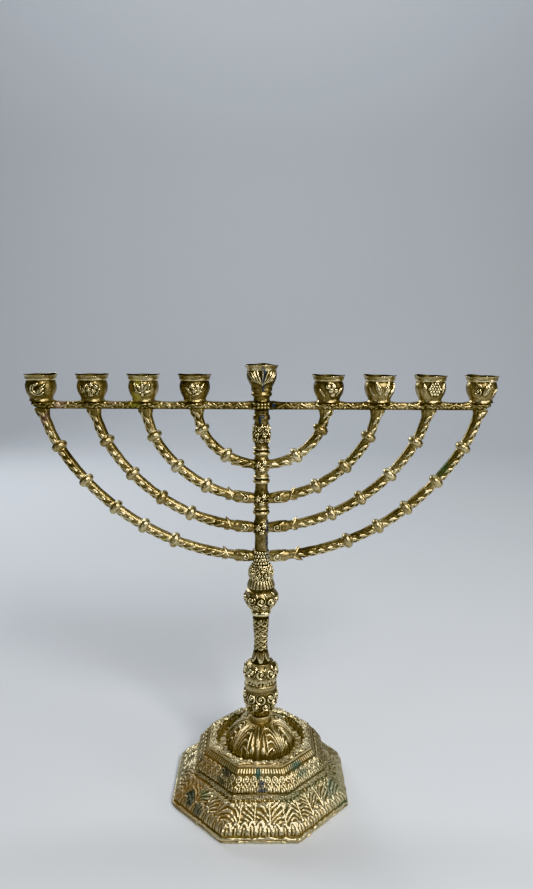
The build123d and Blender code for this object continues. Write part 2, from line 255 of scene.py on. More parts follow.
class Relief:
    """Heights in mm over a grid. across is an angle (or mm if it doesn't wrap), scale the mm that one unit
    of it measures there, and along the distance up the surface in mm."""

    def __init__(self, across, scale, along, wraps=True, place=None, seed=0):
        across, self.scale, along = np.broadcast_arrays(across, scale, along)
        self.across, self.along, self.wraps = across, along, wraps
        if place is not None:
            self.across = across + 0.2 * value_noise(place, 6.0, seed + 11) / np.maximum(self.scale, 1)
            self.along = along + 0.2 * value_noise(place, 5.0, seed + 12)
        self.height = np.zeros(self.across.shape)

    def stamp(self, motif, at, size, height, turn=0.0, flip=1):
        """Press a motif in at (across, along), size (half width, half height) mm, turned by degrees."""
        dx = self.across - at[0]
        if self.wraps:
            dx = (dx + math.pi) % TAU - math.pi
        dx = dx * self.scale
        dy = self.along - at[1]
        near = dx * dx + dy * dy < 2.1 * max(size) ** 2
        dx, dy = dx[near] * flip, dy[near]
        c, s = math.cos(math.radians(turn)), math.sin(math.radians(turn))
        u, v = (c * dx + s * dy) / size[0], (c * dy - s * dx) / size[1]
        inside = (np.abs(u) < 1.05) & (np.abs(v) < 1.05)
        value = height * motif(u, v) * inside
        self.height[near] = np.maximum(self.height[near], value)

    def ring(self, motif, count, along, size, height, offset=0.0, turn=0.0, alternate=False, flip=1):
        """Press the motif in count times around, mirrored every other time if alternate."""
        for i in range(count):
            side = flip * (-1 if alternate and i % 2 else 1)
            self.stamp(motif, ((i + offset) * TAU / count, along), size, height, turn, side)

    def band(self, low, high, height, soft=0.3):
        """Plain raised band."""
        self.height = np.maximum(self.height, height * between(low, high, self.along, soft))

    def add(self, heights):
        self.height = self.height + heights


# ---- Stains and painted shadow: candle wax, patina and a few spots of painted shadow, placed on the front of the object

BLUE, TEAL, GREEN = (0.010, 0.030, 0.060), (0.013, 0.070, 0.058), (0.026, 0.070, 0.026)
MOSS, RUST, SLATE = (0.10, 0.11, 0.045), (0.30, 0.15, 0.035), (0.03, 0.045, 0.04)
BROWN = (0.22, 0.12, 0.032)
# DARK serves dark stains and also painted shadow at the front of the well.
DARK, YELLOW, PINK, WHITE = (0.014, 0.018, 0.014), (0.40, 0.37, 0.05), (0.34, 0.22, 0.19), (0.60, 0.58, 0.50)


def stains_and_painted_shade(points, spots, seed):
    """Colour (..., 4) at the points: each spot is (colour, centre, half sizes, strength)."""
    out = np.zeros(points.shape[:-1] + (4,))
    if not spots:
        return out
    rough = value_noise(points, 1.6, seed) * 0.45 + value_noise(points, 0.6, seed + 1) * 0.25
    patchy = 0.86 + 0.14 * value_noise(points, 1.1, seed + 2)
    for colour, centre, size, strength in spots:
        d = (points - np.array(centre)) / np.array(size)
        weight = strength * smoothstep(1.12, 0.42, np.sqrt((d * d).sum(-1)) - rough * 0.65) * patchy
        closer = weight > out[..., 3]
        out[closer, :3] = colour
        out[..., 3] = np.maximum(out[..., 3], weight)
    return out


# ---- Wear and painted shade


def wear_and_shade_of(height, rows=3, columns=3, depth=0.0):
    """0 in the grooves, about a half on plain ground and 1 on the ridges of a height map in mm: the dark
    grooves and ground are painted shade, the bright ridges rubbed wear. depth is how much darker, as painted
    shade, the ground is than the tops, wherever they lie."""
    # Painted shade: grooves and ground are darkened from the height map, in place of shade in the hollows.
    value = 0.5 + depth * (height / max(height.max(), 0.3) - 0.42)
    for factor, gain in ((1, 1.3), (3, 0.55)):
        soft = height
        for axis, n, mode in ((0, rows * factor, "edge"), (1, columns * factor, "wrap")):
            pad = [(0, 0), (0, 0)]
            pad[axis] = (n + 1, n)
            total = np.cumsum(np.pad(soft, pad, mode=mode), axis)
            high, low = (total.take(range(k, k + height.shape[axis]), axis) for k in (2 * n + 1, 0))
            soft = (high - low) / (2 * n + 1)
        value += gain * (height - soft)
    return np.clip(value, 0, 1)


# ---- Meshes


def grid_mesh(name, points, relief, spots=(), seed=0, wrap_rows=True, caps=False, extra=()):
    """Closed mesh of a (rows, columns, 3) grid that wraps across its columns. Its rows wrap too, or end in
    caps. relief is the tone (0 to 1) of wear, painted highlight and painted shade that the material reads;
    extra holds more closed meshes to join."""
    rows, columns = points.shape[:2]
    co = points.reshape(-1, 3)
    rough = relief.reshape(-1)
    index = np.arange(rows * columns).reshape(rows, columns)
    below = index if wrap_rows else index[:-1]
    above = np.roll(index, -1, 0) if wrap_rows else index[1:]
    quads = np.stack([below, np.roll(below, -1, 1), np.roll(above, -1, 1), above], -1).reshape(-1, 4)
    faces = [quads]
    if caps:
        centres = np.array([points[0].mean(0), points[-1].mean(0)])
        first, last = len(co), len(co) + 1
        co = np.vstack([co, centres])
        rough = np.r_[rough, 0, 0]
        bottom, top = index[0], index[-1]
        faces.append(np.stack([np.full(columns, first), np.roll(bottom, -1), bottom], -1))
        faces.append(np.stack([np.full(columns, last), top, np.roll(top, -1)], -1))
    for more_points, more_faces, more_caps in extra:
        faces += [np.array(more_faces) + len(co), np.array(more_caps) + len(co)]
        co = np.vstack([co, more_points])
        rough = np.r_[rough, np.full(len(more_points), 0.62)]
    mesh = bpy.data.meshes.new(name)
    mesh.vertices.add(len(co))
    mesh.vertices.foreach_set("co", (co * MM).astype(np.float32).ravel())
    sizes = np.concatenate([np.full(len(f), f.shape[1]) for f in faces])
    loops = np.concatenate([f.ravel() for f in faces])
    mesh.loops.add(len(loops))
    mesh.loops.foreach_set("vertex_index", loops.astype(np.int32))
    mesh.polygons.add(len(sizes))
    mesh.polygons.foreach_set("loop_start", np.r_[0, np.cumsum(sizes)[:-1]].astype(np.int32))
    mesh.polygons.foreach_set("loop_total", sizes.astype(np.int32))
    mesh.update(calc_edges=True)
    mesh.shade_smooth()
    mesh.attributes.new("relief", "FLOAT", "POINT").data.foreach_set("value", rough.astype(np.float32))
    tint = stains_and_painted_shade(co, spots, seed).astype(np.float32)
    mesh.attributes.new("tint", "FLOAT_COLOR", "POINT").data.foreach_set("color", tint.ravel())
    mesh.validate()
    piece = bpy.data.objects.new(name, mesh)
    bpy.context.scene.collection.objects.link(piece)
    return piece


def put(piece, slot, *nodes):
    """The piece rides on the one body, takes its finish from a slot and stands for its CAD nodes."""
    piece.data.materials.append(FINISHES[slot])
    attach(piece, "root")
    if nodes:
        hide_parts(*nodes)
    return piece


class Lathe:
    """A body round the Z axis. outline is (radius, height, roundness) from the ground up on the outside;
    inner the way back down the inside, or nothing on a solid body, whose outline starts and ends near the
    axis. roundness 0 is an octagon's corner radius, 1 a circle's."""

    def __init__(self, outline, inner, step, columns, wave=0.0, seed=0):
        outline, inner = ([p if len(p) == 3 else (*p, 1.0) for p in line] for line in (outline, inner))
        path = outer = curve_through(outline, step)
        self.outer_rows = len(outer)
        self.rising = None
        self.solid = not inner
        if inner:
            path = np.vstack([outer, curve_through(inner, 4 * step)])
        turn = np.arange(columns) / columns * TAU
        face = (turn + TAU / 16) % (TAU / 8) - TAU / 16
        octagon = math.cos(TAU / 16) / np.cos(face)
        roundness = path[:, 2:3]
        self.turn = np.broadcast_to(turn, (len(path), columns))
        self.radius = path[:, 0:1] * (roundness + (1 - roundness) * octagon)
        self.z = np.broadcast_to(path[:, 1:2], self.radius.shape)
        self.face = np.broadcast_to(face, self.radius.shape)
        self.seed = seed
        rim = slice(0, self.outer_rows)
        run = np.r_[0, np.cumsum(np.hypot(*np.diff(outer[:, :2], axis=0).T))]
        self.run = np.broadcast_to(run[:, None], (self.outer_rows, columns))
        self.heights_of = outer[:, 1]
        self.runs = run
        self.skin = self.place(0)[rim]
        self.relief = Relief(self.turn[rim], self.radius[rim], self.run, True, self.skin, seed)
        self.ripple = value_noise(self.place(0), 9.0, seed) * wave
        # Bands of rubbed wear, painted highlight and painted shade.
        self.wear_and_painted_light = np.zeros(self.relief.height.shape)

    def place(self, height):
        """Points of the surface, pushed out by a height along its normal."""
        dr = np.gradient(self.radius, axis=0)
        dz = np.gradient(self.z, axis=0)
        size = np.hypot(dr, dz) + 1e-9
        radius = self.radius + height * dz / size
        z = self.z - height * dr / size
        return np.stack([radius * np.sin(self.turn), -radius * np.cos(self.turn), z], -1)

    def wear_and_light_band(self, low, high, amount, soft=0.4):
        """Plain metal between two heights is painted brighter, or with a negative amount darker: rubbed wear
        on some bands, painted highlights and painted shade on others.
        """
        z = self.z[:self.outer_rows]
        self.wear_and_painted_light += amount * smoothstep(low - soft, low + soft, z) * smoothstep(
            high + soft, high - soft, z)

    def at(self, z):
        """Distance along the outside at a height, over the first rows, which rise."""
        return float(np.interp(z, self.heights_of[:self.rising], self.runs[:self.rising]))

    def mesh(self, name, deepest, spots=(), grain=0.05, wax=0.0, x=0.0, bend=None, depth=0.7):
        """The finished piece at x. deepest is how far the ornament's ground is sunk below the CAD's surface,
        wax how far the stains stand proud, depth how much painted shade darkens the ground, and bend moves
        the points."""
        height = np.zeros(self.radius.shape)
        height[:self.outer_rows] = self.relief.height - deepest
        points = self.place(0)
        fine = value_noise(points, 0.9, self.seed) * grain + value_noise(points, 2.6, self.seed + 3) * grain
        fine[self.outer_rows:] = 0
        tall = np.full(self.radius.shape, 0.42)
        across = max(2, int(round(0.7 / (self.radius.max() * TAU / self.turn.shape[1]))))
        # Tone read by the material: wear with painted shade from the height map, plus the painted bands.
        tall[:self.outer_rows] = np.clip(wear_and_shade_of(self.relief.height, 3, across, depth) + self.wear_and_painted_light, 0, 1)
        points = self.place(height + fine + self.ripple)
        if wax:
            points = self.place(height + fine + self.ripple + wax * stains_and_painted_shade(points, spots, self.seed)[..., 3])
        if bend:
            points = bend(points)
        points[..., 0] += x
        moved = [(colour, (place[0] + x, *place[1:]), *rest) for colour, place, *rest in spots]
        return grid_mesh(name, points, tall, moved, self.seed, not self.solid, self.solid)


# ---- Materials


def feed(tree, target, inputs):
    """Set a node's inputs to values, or link them to the outputs of other nodes."""
    for key, value in inputs.items():
        if isinstance(value, bpy.types.NodeSocket):
            tree.links.new(value, target.inputs[key])
        else:
            target.inputs[key].default_value = value
    return target


def node(tree, kind, inputs=(), **values):
    """New node with some of its settings and inputs given."""
    made = tree.nodes.new(kind)
    for key, value in values.items():
        setattr(made, key, value)
    return feed(tree, made, dict(inputs))


def ramp(tree, factor, stops):
    made = node(tree, "ShaderNodeValToRGB", {"Fac": factor})
    elements = made.color_ramp.elements
    while len(elements) < len(stops):
        elements.new(0.5)
    for element, (place, colour) in zip(elements, stops):
        element.position = place
        element.color = (*colour, 1)
    return made.outputs["Color"]


def blend(tree, factor, a, b):
    """Mix of two colours; the factor, the first and the second colour are inputs 0, 6 and 7."""
    a, b = ((*colour, 1) if isinstance(colour, tuple) else colour for colour in (a, b))
    return node(tree, "ShaderNodeMix", {0: factor, 6: a, 7: b}, data_type="RGBA").outputs[2]


def maths(tree, operation, a, b=0.5, clamp=False):
    return node(tree, "ShaderNodeMath", {0: a, 1: b}, operation=operation, use_clamp=clamp).outputs[0]


def noise(tree, scale, detail):
    """Noise in the object's own space, about 0.5."""
    place = node(tree, "ShaderNodeTexCoord").outputs["Object"]
    inputs = {"Vector": place, "Scale": scale, "Detail": detail}
    return node(tree, "ShaderNodeTexNoise", inputs).outputs["Fac"]


def bumps(tree, height, strength):
    inputs = {"Strength": strength, "Distance": 0.0002, "Height": height}
    return node(tree, "ShaderNodeBump", inputs).outputs["Normal"]


def new_material(name):
    material = bpy.data.materials.new(name)
    material.use_nodes = True
    return material, material.node_tree, material.node_tree.nodes["Principled BSDF"]


def aged_brass(name, bright, mid, recess, patina_amount, rough):
    """Cast brass: bright on the rubbed ridges and painted highlights, dark brown in the recesses as painted
    shade, with patches of green patina.
    """
    material, tree, shader = new_material(name)
    # The relief attribute holds wear together with painted highlight and painted shade.
    relief = node(tree, "ShaderNodeAttribute", attribute_name="relief").outputs["Fac"]
    tint = node(tree, "ShaderNodeAttribute", attribute_name="tint").outputs
    broad, fine, cloud = noise(tree, 60.0, 5.0), noise(tree, 700.0, 4.0), noise(tree, 26.0, 3.0)
    wear_and_shading = maths(tree, "ADD", relief, maths(tree, "MULTIPLY", maths(tree, "SUBTRACT", broad), 0.9))
    wear_and_shading = maths(tree, "ADD", wear_and_shading, maths(tree, "MULTIPLY", maths(tree, "SUBTRACT", fine)), True)
    # RECESS at the low end of the ramp is painted shade; BRIGHT at the top is rubbed metal and painted
    # highlight.
    metal = ramp(tree, wear_and_shading, [(0.0, recess), (0.16, recess), (0.46, mid), (0.86, bright)])
    green = maths(tree, "MULTIPLY", maths(tree, "SUBTRACT", cloud, 0.56), 9.0, True)
    low = maths(tree, "SUBTRACT", 1.15, wear_and_shading, True)
    green = maths(tree, "MULTIPLY", maths(tree, "MULTIPLY", green, low), patina_amount, True)
    colour = blend(tree, tint["Alpha"], blend(tree, green, metal, PATINA), tint["Color"])
    dull = maths(tree, "ADD", green, tint["Alpha"], True)
    metallic = maths(tree, "SUBTRACT", 1.0, maths(tree, "MULTIPLY", dull, 0.85), True)
    roughness = maths(tree, "ADD", maths(tree, "MULTIPLY", maths(tree, "SUBTRACT", 1.0, wear_and_shading), 0.30), rough)
    roughness = maths(tree, "ADD", roughness, maths(tree, "MULTIPLY", green, 0.25))
    normal = bumps(tree, fine, 0.35)
    feed(tree, shader, {"Base Color": colour, "Metallic": metallic, "Roughness": roughness, "Normal": normal})
    return material


# RECESS is the painted shade colour of grooves and hollows; BRIGHT is rubbed metal and painted highlight.
# BASE_TONES work the same way.
BRIGHT, MID, RECESS = (0.80, 0.71, 0.45), (0.34, 0.265, 0.125), (0.040, 0.030, 0.013)
PATINA = (0.03, 0.085, 0.06)
BASE_TONES = (0.69, 0.61, 0.40), (0.47, 0.375, 0.195), (0.165, 0.12, 0.052)
FINISHES = {"base_brass": aged_brass("base brass", *BASE_TONES, 0.7, 0.31),
            "stem_brass": aged_brass("stem brass", BRIGHT, (0.42, 0.335, 0.175), RECESS, 0.1, 0.2),
            "arm_brass": aged_brass("arm brass", BRIGHT, MID, RECESS, 0.12, 0.21),
            "cup_brass": aged_brass("cup brass", BRIGHT, MID, RECESS, 0.12, 0.17)}


def dull_steel():
    """Zinc-grey steel with darker smears, for the rod, washer and nut inside the foot."""
    material, tree, shader = new_material("dull steel")
    broad, fine = noise(tree, 140.0, 5.0), noise(tree, 900.0, 3.0)
    stops = [(0.32, (0.10, 0.085, 0.065)), (0.5, (0.34, 0.34, 0.33)), (0.75, (0.52, 0.52, 0.50))]
    roughness = maths(tree, "SUBTRACT", 0.85, maths(tree, "MULTIPLY", broad, 0.7))
    feed(tree, shader, {"Base Color": ramp(tree, broad, stops), "Metallic": 0.9, "Roughness": roughness,
                        "Normal": bumps(tree, fine, 0.3)})
    return material


def finish_hardware():
    """The rod, its washer and its nut keep their CAD shapes and only get a finish."""
    steel = dull_steel()
    for name in ("tie_rod", "washer", "hex_nut"):
        for place in bpy.data.objects[name].material_slots:
            place.link = "OBJECT"
            place.material = steel


# ---- Stem

BORE = 2.75


def stem_piece(node_name, outline, press, wear_and_light_bands, seed, columns=360, deepest=0.35, depth=0.5, grain=0.05):
    """Turned piece with a bore: its (radius, height) outline, its ornament and its bands of rubbed wear,
    painted highlight and painted shade.
    """
    bottom, top = outline[0][1], outline[-1][1]
    start, end = [(BORE, bottom), (BORE, bottom), outline[0]], [outline[-1], (BORE, top), (BORE, top)]
    bore = [(BORE, top - 0.3), (BORE, bottom + 0.3)]
    body = Lathe([*start, *outline, *end], bore, 0.2, columns, 0.12, seed)
    press(body.relief, body.at)
    # Bands of rubbed wear, painted highlight and painted shade.
    for zone in wear_and_light_bands:
        body.wear_and_light_band(*zone)
    put(body.mesh(f"{node_name}_casting", deepest, grain=grain, depth=depth), "stem_brass", node_name)


def lower_knop(r, at):
    """Big spirals round the shoulder, smaller ones and leaves below, and a row of beads."""
    for i in range(10):
        a = (i + 0.05) * TAU / 10
        side = 1 if i % 3 else -1
        r.stamp(volute, (a, at(61.8)), (3.25, 3.35), 0.8, 40 * i, side)
        r.stamp(volute, (a + 0.31, at(56.4)), (2.7, 2.5), 0.7, 70 * i, -side)
        r.stamp(leaf, (a + 0.05, at(52.4)), (1.5, 2.5), 0.6, 35 * side)
    r.ring(bead, 20, at(50.0), (0.8, 0.8), 0.5)


def upper_knop(r, at):
    """Spirals at the widest, scales, leaves and beads below, leaves over the shoulder."""
    r.ring(volute, 10, at(77.9), (3.1, 3.3), 0.85, offset=0.03)
    r.ring(leaf, 10, at(81.0), (1.3, 1.5), 0.55, offset=0.53)
    r.ring(scale_leaf, 10, at(73.2), (2.6, 2.2), 0.7, offset=0.53)
    r.ring(leaf, 10, at(73.0), (1.3, 2.0), 0.6, offset=0.03)
    r.ring(bead, 26, at(70.4), (0.95, 0.8), 0.5)


def knop_ring(r, at):
    """A plain band."""


def shaft(r, at):
    """Scales that narrow downwards to long leaf tips, under a plain ring."""
    for row in range(11):
        size = (2.1 * (1 + 0.02 * row), 2.0)
        tilt = 14 * math.sin(2.1 * row)
        r.ring(scale_leaf, 6, at(92.0 + row * 1.72), size, 0.55, offset=0.5 * (row % 2), turn=tilt)
    r.ring(volute, 6, at(109.0), (1.7, 1.7), 0.5, alternate=True)
    r.ring(scale_leaf, 6, at(87.2), (2.3, 4.6), 0.6)
    r.ring(bead, 6, at(84.0), (1.5, 1.3), 0.5)
    r.band(at(112.4), at(115.2), 0.5)


def scroll_knop(r, at):
    """Two rows of spirals that wind opposite ways, between leaves at the foot and on the shoulder."""
    for i in range(10):
        a = (i + 0.03) * TAU / 10
        r.stamp(volute, (a, at(123.6)), (3.0, 2.6), 0.85, 25)
        r.stamp(volute, (a + 0.25, at(119.2)), (2.5, 2.1), 0.75, 200, -1)
        r.stamp(leaf, (a + 0.3, at(127.2)), (1.3, 1.9), 0.4, 30)
    r.ring(leaf, 12, at(116.8), (1.5, 1.5), 0.5, offset=0.5)


def fluted_collar(r, at):
    """Upright flutes over a plain rounded ring."""
    along = smoothstep(at(130.0), at(130.7), r.along) * smoothstep(at(135.0), at(134.3), r.along)
    r.add(0.5 * np.sqrt(np.abs(np.cos(r.across * 12))) * along)


def flower_knop(r, at):
    """Basket of interlaced leaf scrolls between two rows of beads."""
    for row, z in enumerate((136.0, 138.7, 141.4)):
        size = (2.1, 1.9) if row < 2 else (1.7, 1.6)
        offset = 0.5 * (row % 2)
        r.ring(volute, 10, at(z), size, 0.7, offset=offset + 0.2, turn=90 * row, alternate=True)
        r.ring(s_curve, 10, at(z + 0.9), (1.5, 2.0), 0.6, offset=offset + 0.7, turn=35)
    r.ring(bead, 20, at(143.6), (0.8, 0.8), 0.5)
    r.ring(bead, 20, at(134.9), (0.8, 0.6), 0.45, offset=0.5)


def stem():
    """The seven turned pieces between the foot and the column."""
    stem_piece("lower_knop", [(5.2, 48.0), (9.0, 52.7), (10.3, 59.0), (10.0, 63.4), (9.3, 65.8)],
               lower_knop, [(48.0, 66.0, 0.10)], 1)
    stem_piece("knop_ring", [(9.0, 65.6), (9.6, 66.1), (9.8, 67.6), (9.6, 69.1), (9.0, 69.6)],
               knop_ring, [(65.4, 69.9, 0.3)], 3, deepest=0.0, depth=0.7, grain=0.03)
    stem_piece("upper_knop", [(9.3, 69.4), (10.0, 73.0), (10.35, 76.4), (9.2, 80.2), (6.4, 82.6)],
               upper_knop, [(69.0, 83.0, 0.1)], 2)
    stem_piece("stem_shaft", [(6.1, 82.3), (4.9, 87.0), (4.05, 94.4), (4.95, 109.6), (5.3, 112.2),
                              (5.3, 112.2), (5.95, 113.8), (5.4, 115.4)],
               shaft, [(112.2, 115.4, 0.25), (82.0, 111.0, -0.12)], 4, 240, 0.4, 0.7)
    # The brighter band on the scroll knop's shoulder, from 126.2 to 129.0, is a painted highlight over the
    # collar's shadow.
    stem_piece("scroll_knop", [(5.6, 115.2), (8.3, 118.6), (10.0, 122.6), (9.9, 125.4), (8.9, 127.8),
                               (7.5, 129.0)],
               scroll_knop, [(114.0, 126.0, 0.12), (126.2, 129.0, 0.22)], 5)
    stem_piece("fluted_collar", [(7.5, 128.8), (8.1, 129.0), (8.35, 129.7), (8.2, 130.4), (8.2, 130.4),
                                 (8.1, 131.2), (7.4, 133.4), (6.6, 135.0)],
               fluted_collar, [(128.8, 130.2, 0.12, 0.2), (130.2, 135.0, -0.28)], 6, deepest=0.3, depth=0.7)
    stem_piece("flower_knop", [(6.3, 134.4), (7.35, 137.0), (7.4, 139.6), (6.4, 142.4), (5.4, 144.3)],
               flower_knop, [(134.4, 144.3, -0.15)], 7, deepest=0.4, depth=0.7)


# ---- Base


def domed_foot():
    """Dome of eight arched panels, each with half a palm leaf and a drop; a plain neck on top."""
    seat, dome_r, dome_h, neck_r = 28.0, 20.8, 16.6, 6.3
    crown = [(dome_r * math.cos(a), seat + dome_h * math.sin(a)) for a in np.radians([4, 18, 34, 48, 60, 69])]
    neck = [(neck_r - 0.2, 44.6), (neck_r, 46.0), (neck_r - 0.3, 47.4), (neck_r - 0.9, 48.0)]
    outline = [(dome_r - 2.2, seat), (dome_r - 2.2, seat), (dome_r - 0.3, seat), (dome_r - 0.3, seat),
               *crown, (neck_r - 0.1, 43.9), (neck_r - 0.1, 43.9), *neck, neck[-1],
               (BORE, 48.0), (BORE, 48.0)]
    inner = [(BORE, 47.5), (BORE, 42.6), (BORE, 42.6)]
    inner += [((dome_r - 2.2) * math.cos(a), seat + (dome_h - 2.2) * math.sin(a))
              for a in np.radians([75, 55, 35, 15, 2])]
    body = Lathe(outline, inner, 0.29, 480, 0.1, 8)
    r = body.relief
    low, high = body.at(29.6), body.at(44.0)
    turn = (r.across - math.radians(-5.4)) * 8 / TAU
    u = (turn % 1) * 2 - 1
    u = np.where(np.floor(turn) % 2 == 0, u, -u)
    v = (r.along - low) / (high - low) * 2 - 1
    half = r.scale * TAU / 16
    rib = 1.3 * ridge((1 - np.abs(u)) * half, 0.55) * smoothstep(0.9, 0.5, v)
    vault = np.abs(u / 0.94) ** 2.4 + ((v + 1) / 1.66).clip(0) ** 3
    rib = np.maximum(rib, 1.1 * ridge(vault - 0.94, 0.07))
    inside = smoothstep(0.90, 0.82, vault)
    w = (u + 0.14) / 1.08
    level = np.hypot(np.where(w > 0.35, (w - 0.35) / 0.65, (0.35 - w) / 1.4), (v + 1) / 1.62)
    palm = ridge((level * 4.2 + 0.15) % 1 - 0.5, 0.21) * (w > 0) * (level > 0.12)
    stem = stroke((u + 0.14) * half / 4, v, [(0, -1), (0, 0.35)], 0.12)
    foot_rib = stroke((u - 0.30) * half / 4, v, [(0, -1), (0.02, -0.62)], 0.11)
    drop = bead((u + 0.54) / 0.21, (v + 0.58) / 0.30)
    drop = np.maximum(drop, 0.9 * leaf((u + 0.46) / 0.30, (v + 0.02) / 0.40))
    drop = np.maximum(drop, 0.8 * bead((u + 0.26) / 0.10, (v + 0.80) / 0.2))
    fill = np.maximum(np.maximum(0.8 * palm, stem), np.maximum(foot_rib, 0.85 * drop * (w < -0.05)))
    tuft = smoothstep(1.05, 1.15, vault) * smoothstep(1.0, 0.85, v) * (np.abs(np.cos(turn * TAU * 2)) ** 0.6)
    r.add(np.maximum(rib, 0.85 * inside * fill) + 0.5 * tuft)
    r.height *= (v > -1.02) * (v < 1.0)
    # Painted highlight on the neck ring, which the lower knop shades.
    body.wear_and_light_band(44.0, 47.6, 0.4)
    # The DARK spot at the front of the dome's foot is painted shadow where the dome sinks into the well.
    spots = [(DARK, (0, -18, 28.5), (16, 6, 1.8), 0.55), (MOSS, (17, -6, 36), (4, 8, 6), 0.45),
             (MOSS, (12, -15, 34), (3, 4, 4), 0.3), (RUST, (-14, -10, 37), (6, 6, 7), 0.3)]
    put(body.mesh("domed_foot_casting", 0.5, spots, depth=0.8), "base_brass", "domed_foot")


def face_relief(body, mirrored):
    """Relief over one face of the octagon, repeated on all: across is -1 to 1 between the corners."""
    side = math.tan(TAU / 16)
    across = np.tan(body.face[:body.outer_rows]) / side
    if mirrored:
        face_number = np.floor((body.turn[:body.outer_rows] + TAU / 16) / (TAU / 8)).astype(int)
        across = np.where(face_number % 2 == 1, -across, across)
    scale = body.radius[:body.outer_rows] * np.cos(body.face[:body.outer_rows]) * side
    return Relief(across, scale, body.run, False, body.skin, body.seed)


def lower_tier():
    """Fronds between upright ribs, a row of leaf tips above an uneven lip, a plain moulding on top."""
    outline = [(53.0, 0.1), (53.0, 0.1), (56.4, 0.1), (56.4, 0.1), (56.9, 0.6), (56.9, 1.6), (56.8, 3.0),
               (56.2, 3.9), (55.6, 4.3), (55.6, 4.3), (54.9, 6.6), (49.6, 12.0), (42.9, 17.6), (42.9, 17.6),
               (42.4, 20.7), (42.4, 20.7), (40.0, 20.9), (40.0, 20.9)]
    inner = [(40.2, 17.0), (47.0, 11.0), (52.6, 5.5), (53.0, 0.5)]
    outline, inner = ([(*p, 0.0) for p in line] for line in (outline, inner))
    body = Lathe(outline, inner, 0.30, 8 * 86, 0.22, 9)
    r = face_relief(body, True)
    z = body.z[:body.outer_rows]
    field = smoothstep(6.6, 8.4, z) * smoothstep(17.4, 16.6, z)
    panel = r.across * 2.25 + 0.37
    part = panel % 1
    width = r.scale / 2.25
    dx = part * width
    dx = np.where(r.across > 0.3, width - dx, dx)
    rib = ridge(np.minimum(part, 1 - part) * width, 0.5) * (0.85 + 0.15 * np.cos(TAU * r.along / 1.6))
    droop = r.along + 0.15 * dx + 0.075 * dx**2 + 1.5 * value_noise(body.skin, 7.0, 3)
    droop = droop + 0.9 * value_noise(body.skin, 3.0, 14)
    barb = np.sqrt(np.clip(np.cos(TAU * droop / 2.7) * 0.62 + 0.38, 0, 1))
    barb *= smoothstep(0.2, 1.1, np.minimum(part, 1 - part) * width)
    broken = smoothstep(-0.55, 0.0, value_noise(body.skin, 2.4, 15))
    r.add(field * np.maximum(rib, 0.8 * barb * (0.45 + 0.55 * broken)))
    for i, a in face_steps(9):
        sway = 0.6 * math.sin(5 * i)
        r.stamp(fold, (a, body.at(7.4) + sway), (2.5, 3.9 + 0.5 * math.sin(7 * i)), 0.95, 5 * math.sin(3 * i))
    for i, a in face_steps(12):
        r.stamp(volute, (a, body.at(18.9)), (1.5, 1.5), 0.7, 80 * i, zigzag(i))
        r.stamp(s_curve, (a + 1 / 12, body.at(18.4)), (0.8, 1.7), 0.55, 20)
    for i, a in face_steps(13):
        r.stamp(volute, (a, body.at(16.0)), (1.35, 1.3), 0.8, 60 * i, zigzag(i))
    r.add(0.25 * smoothstep(19.9, 20.3, z))
    edge = 3.2 + 0.8 * value_noise(body.skin, 2.4, 5)
    r.height *= smoothstep(3.9, 4.7, z)
    r.add((0.7 + 0.35 * value_noise(body.skin, 2.0, 16)) * smoothstep(edge + 0.5, edge, z))
    r.add(-0.5 * ridge(z - 1.6 - 0.6 * value_noise(body.skin, 7.0, 17), 0.35))
    body.relief = r
    body.wear_and_light_band(-0.5, 3.4, 0.25)
    spots = [(BLUE, (0.5, -42, 19.6), (4.0, 4, 2.0), 1.0), (DARK, (1.5, -44, 17.0), (4.4, 4, 2.4), 0.7),
             (GREEN, (24, -36, 18), (8, 6, 2.8), 0.7), (TEAL, (42, -22, 13), (4, 6, 7), 0.6),
             (SLATE, (-41, -27, 9), (5, 7, 7.5), 1.0), (SLATE, (-36, -33, 6.5), (5, 6, 4.5), 0.9),
             (GREEN, (-34, -30, 14), (5, 6, 5.0), 0.7), (SLATE, (-38, -20, 19), (3, 6, 2.5), 0.6),
             (YELLOW, (-13, -55, 4.2), (6, 5, 1.6), 0.35), (DARK, (-6, -55, 4), (1.6, 4, 1.2), 0.7),
             (RUST, (-24, -42, 12), (10, 12, 9), 0.35), (MOSS, (48, -8, 10), (8, 20, 12), 0.35),
             (MOSS, (-50, 0, 10), (8, 22, 12), 0.3), (BROWN, (-42, -24, 9), (19, 19, 17), 0.7),
             (RUST, (-37, -34, 4), (16, 14, 4), 0.3)]

    def bend(points):
        points[..., 1] = np.clip(points[..., 1], cad_box[0][1] / MM, cad_box[1][1] / MM)
        points[..., 2] = np.maximum(points[..., 2], 0.0)
        return points

    piece = body.mesh("base_lower_tier", 0.75, spots, 0.1, bend=bend, depth=0.5)
    put(piece, "base_brass", "octagonal_base")


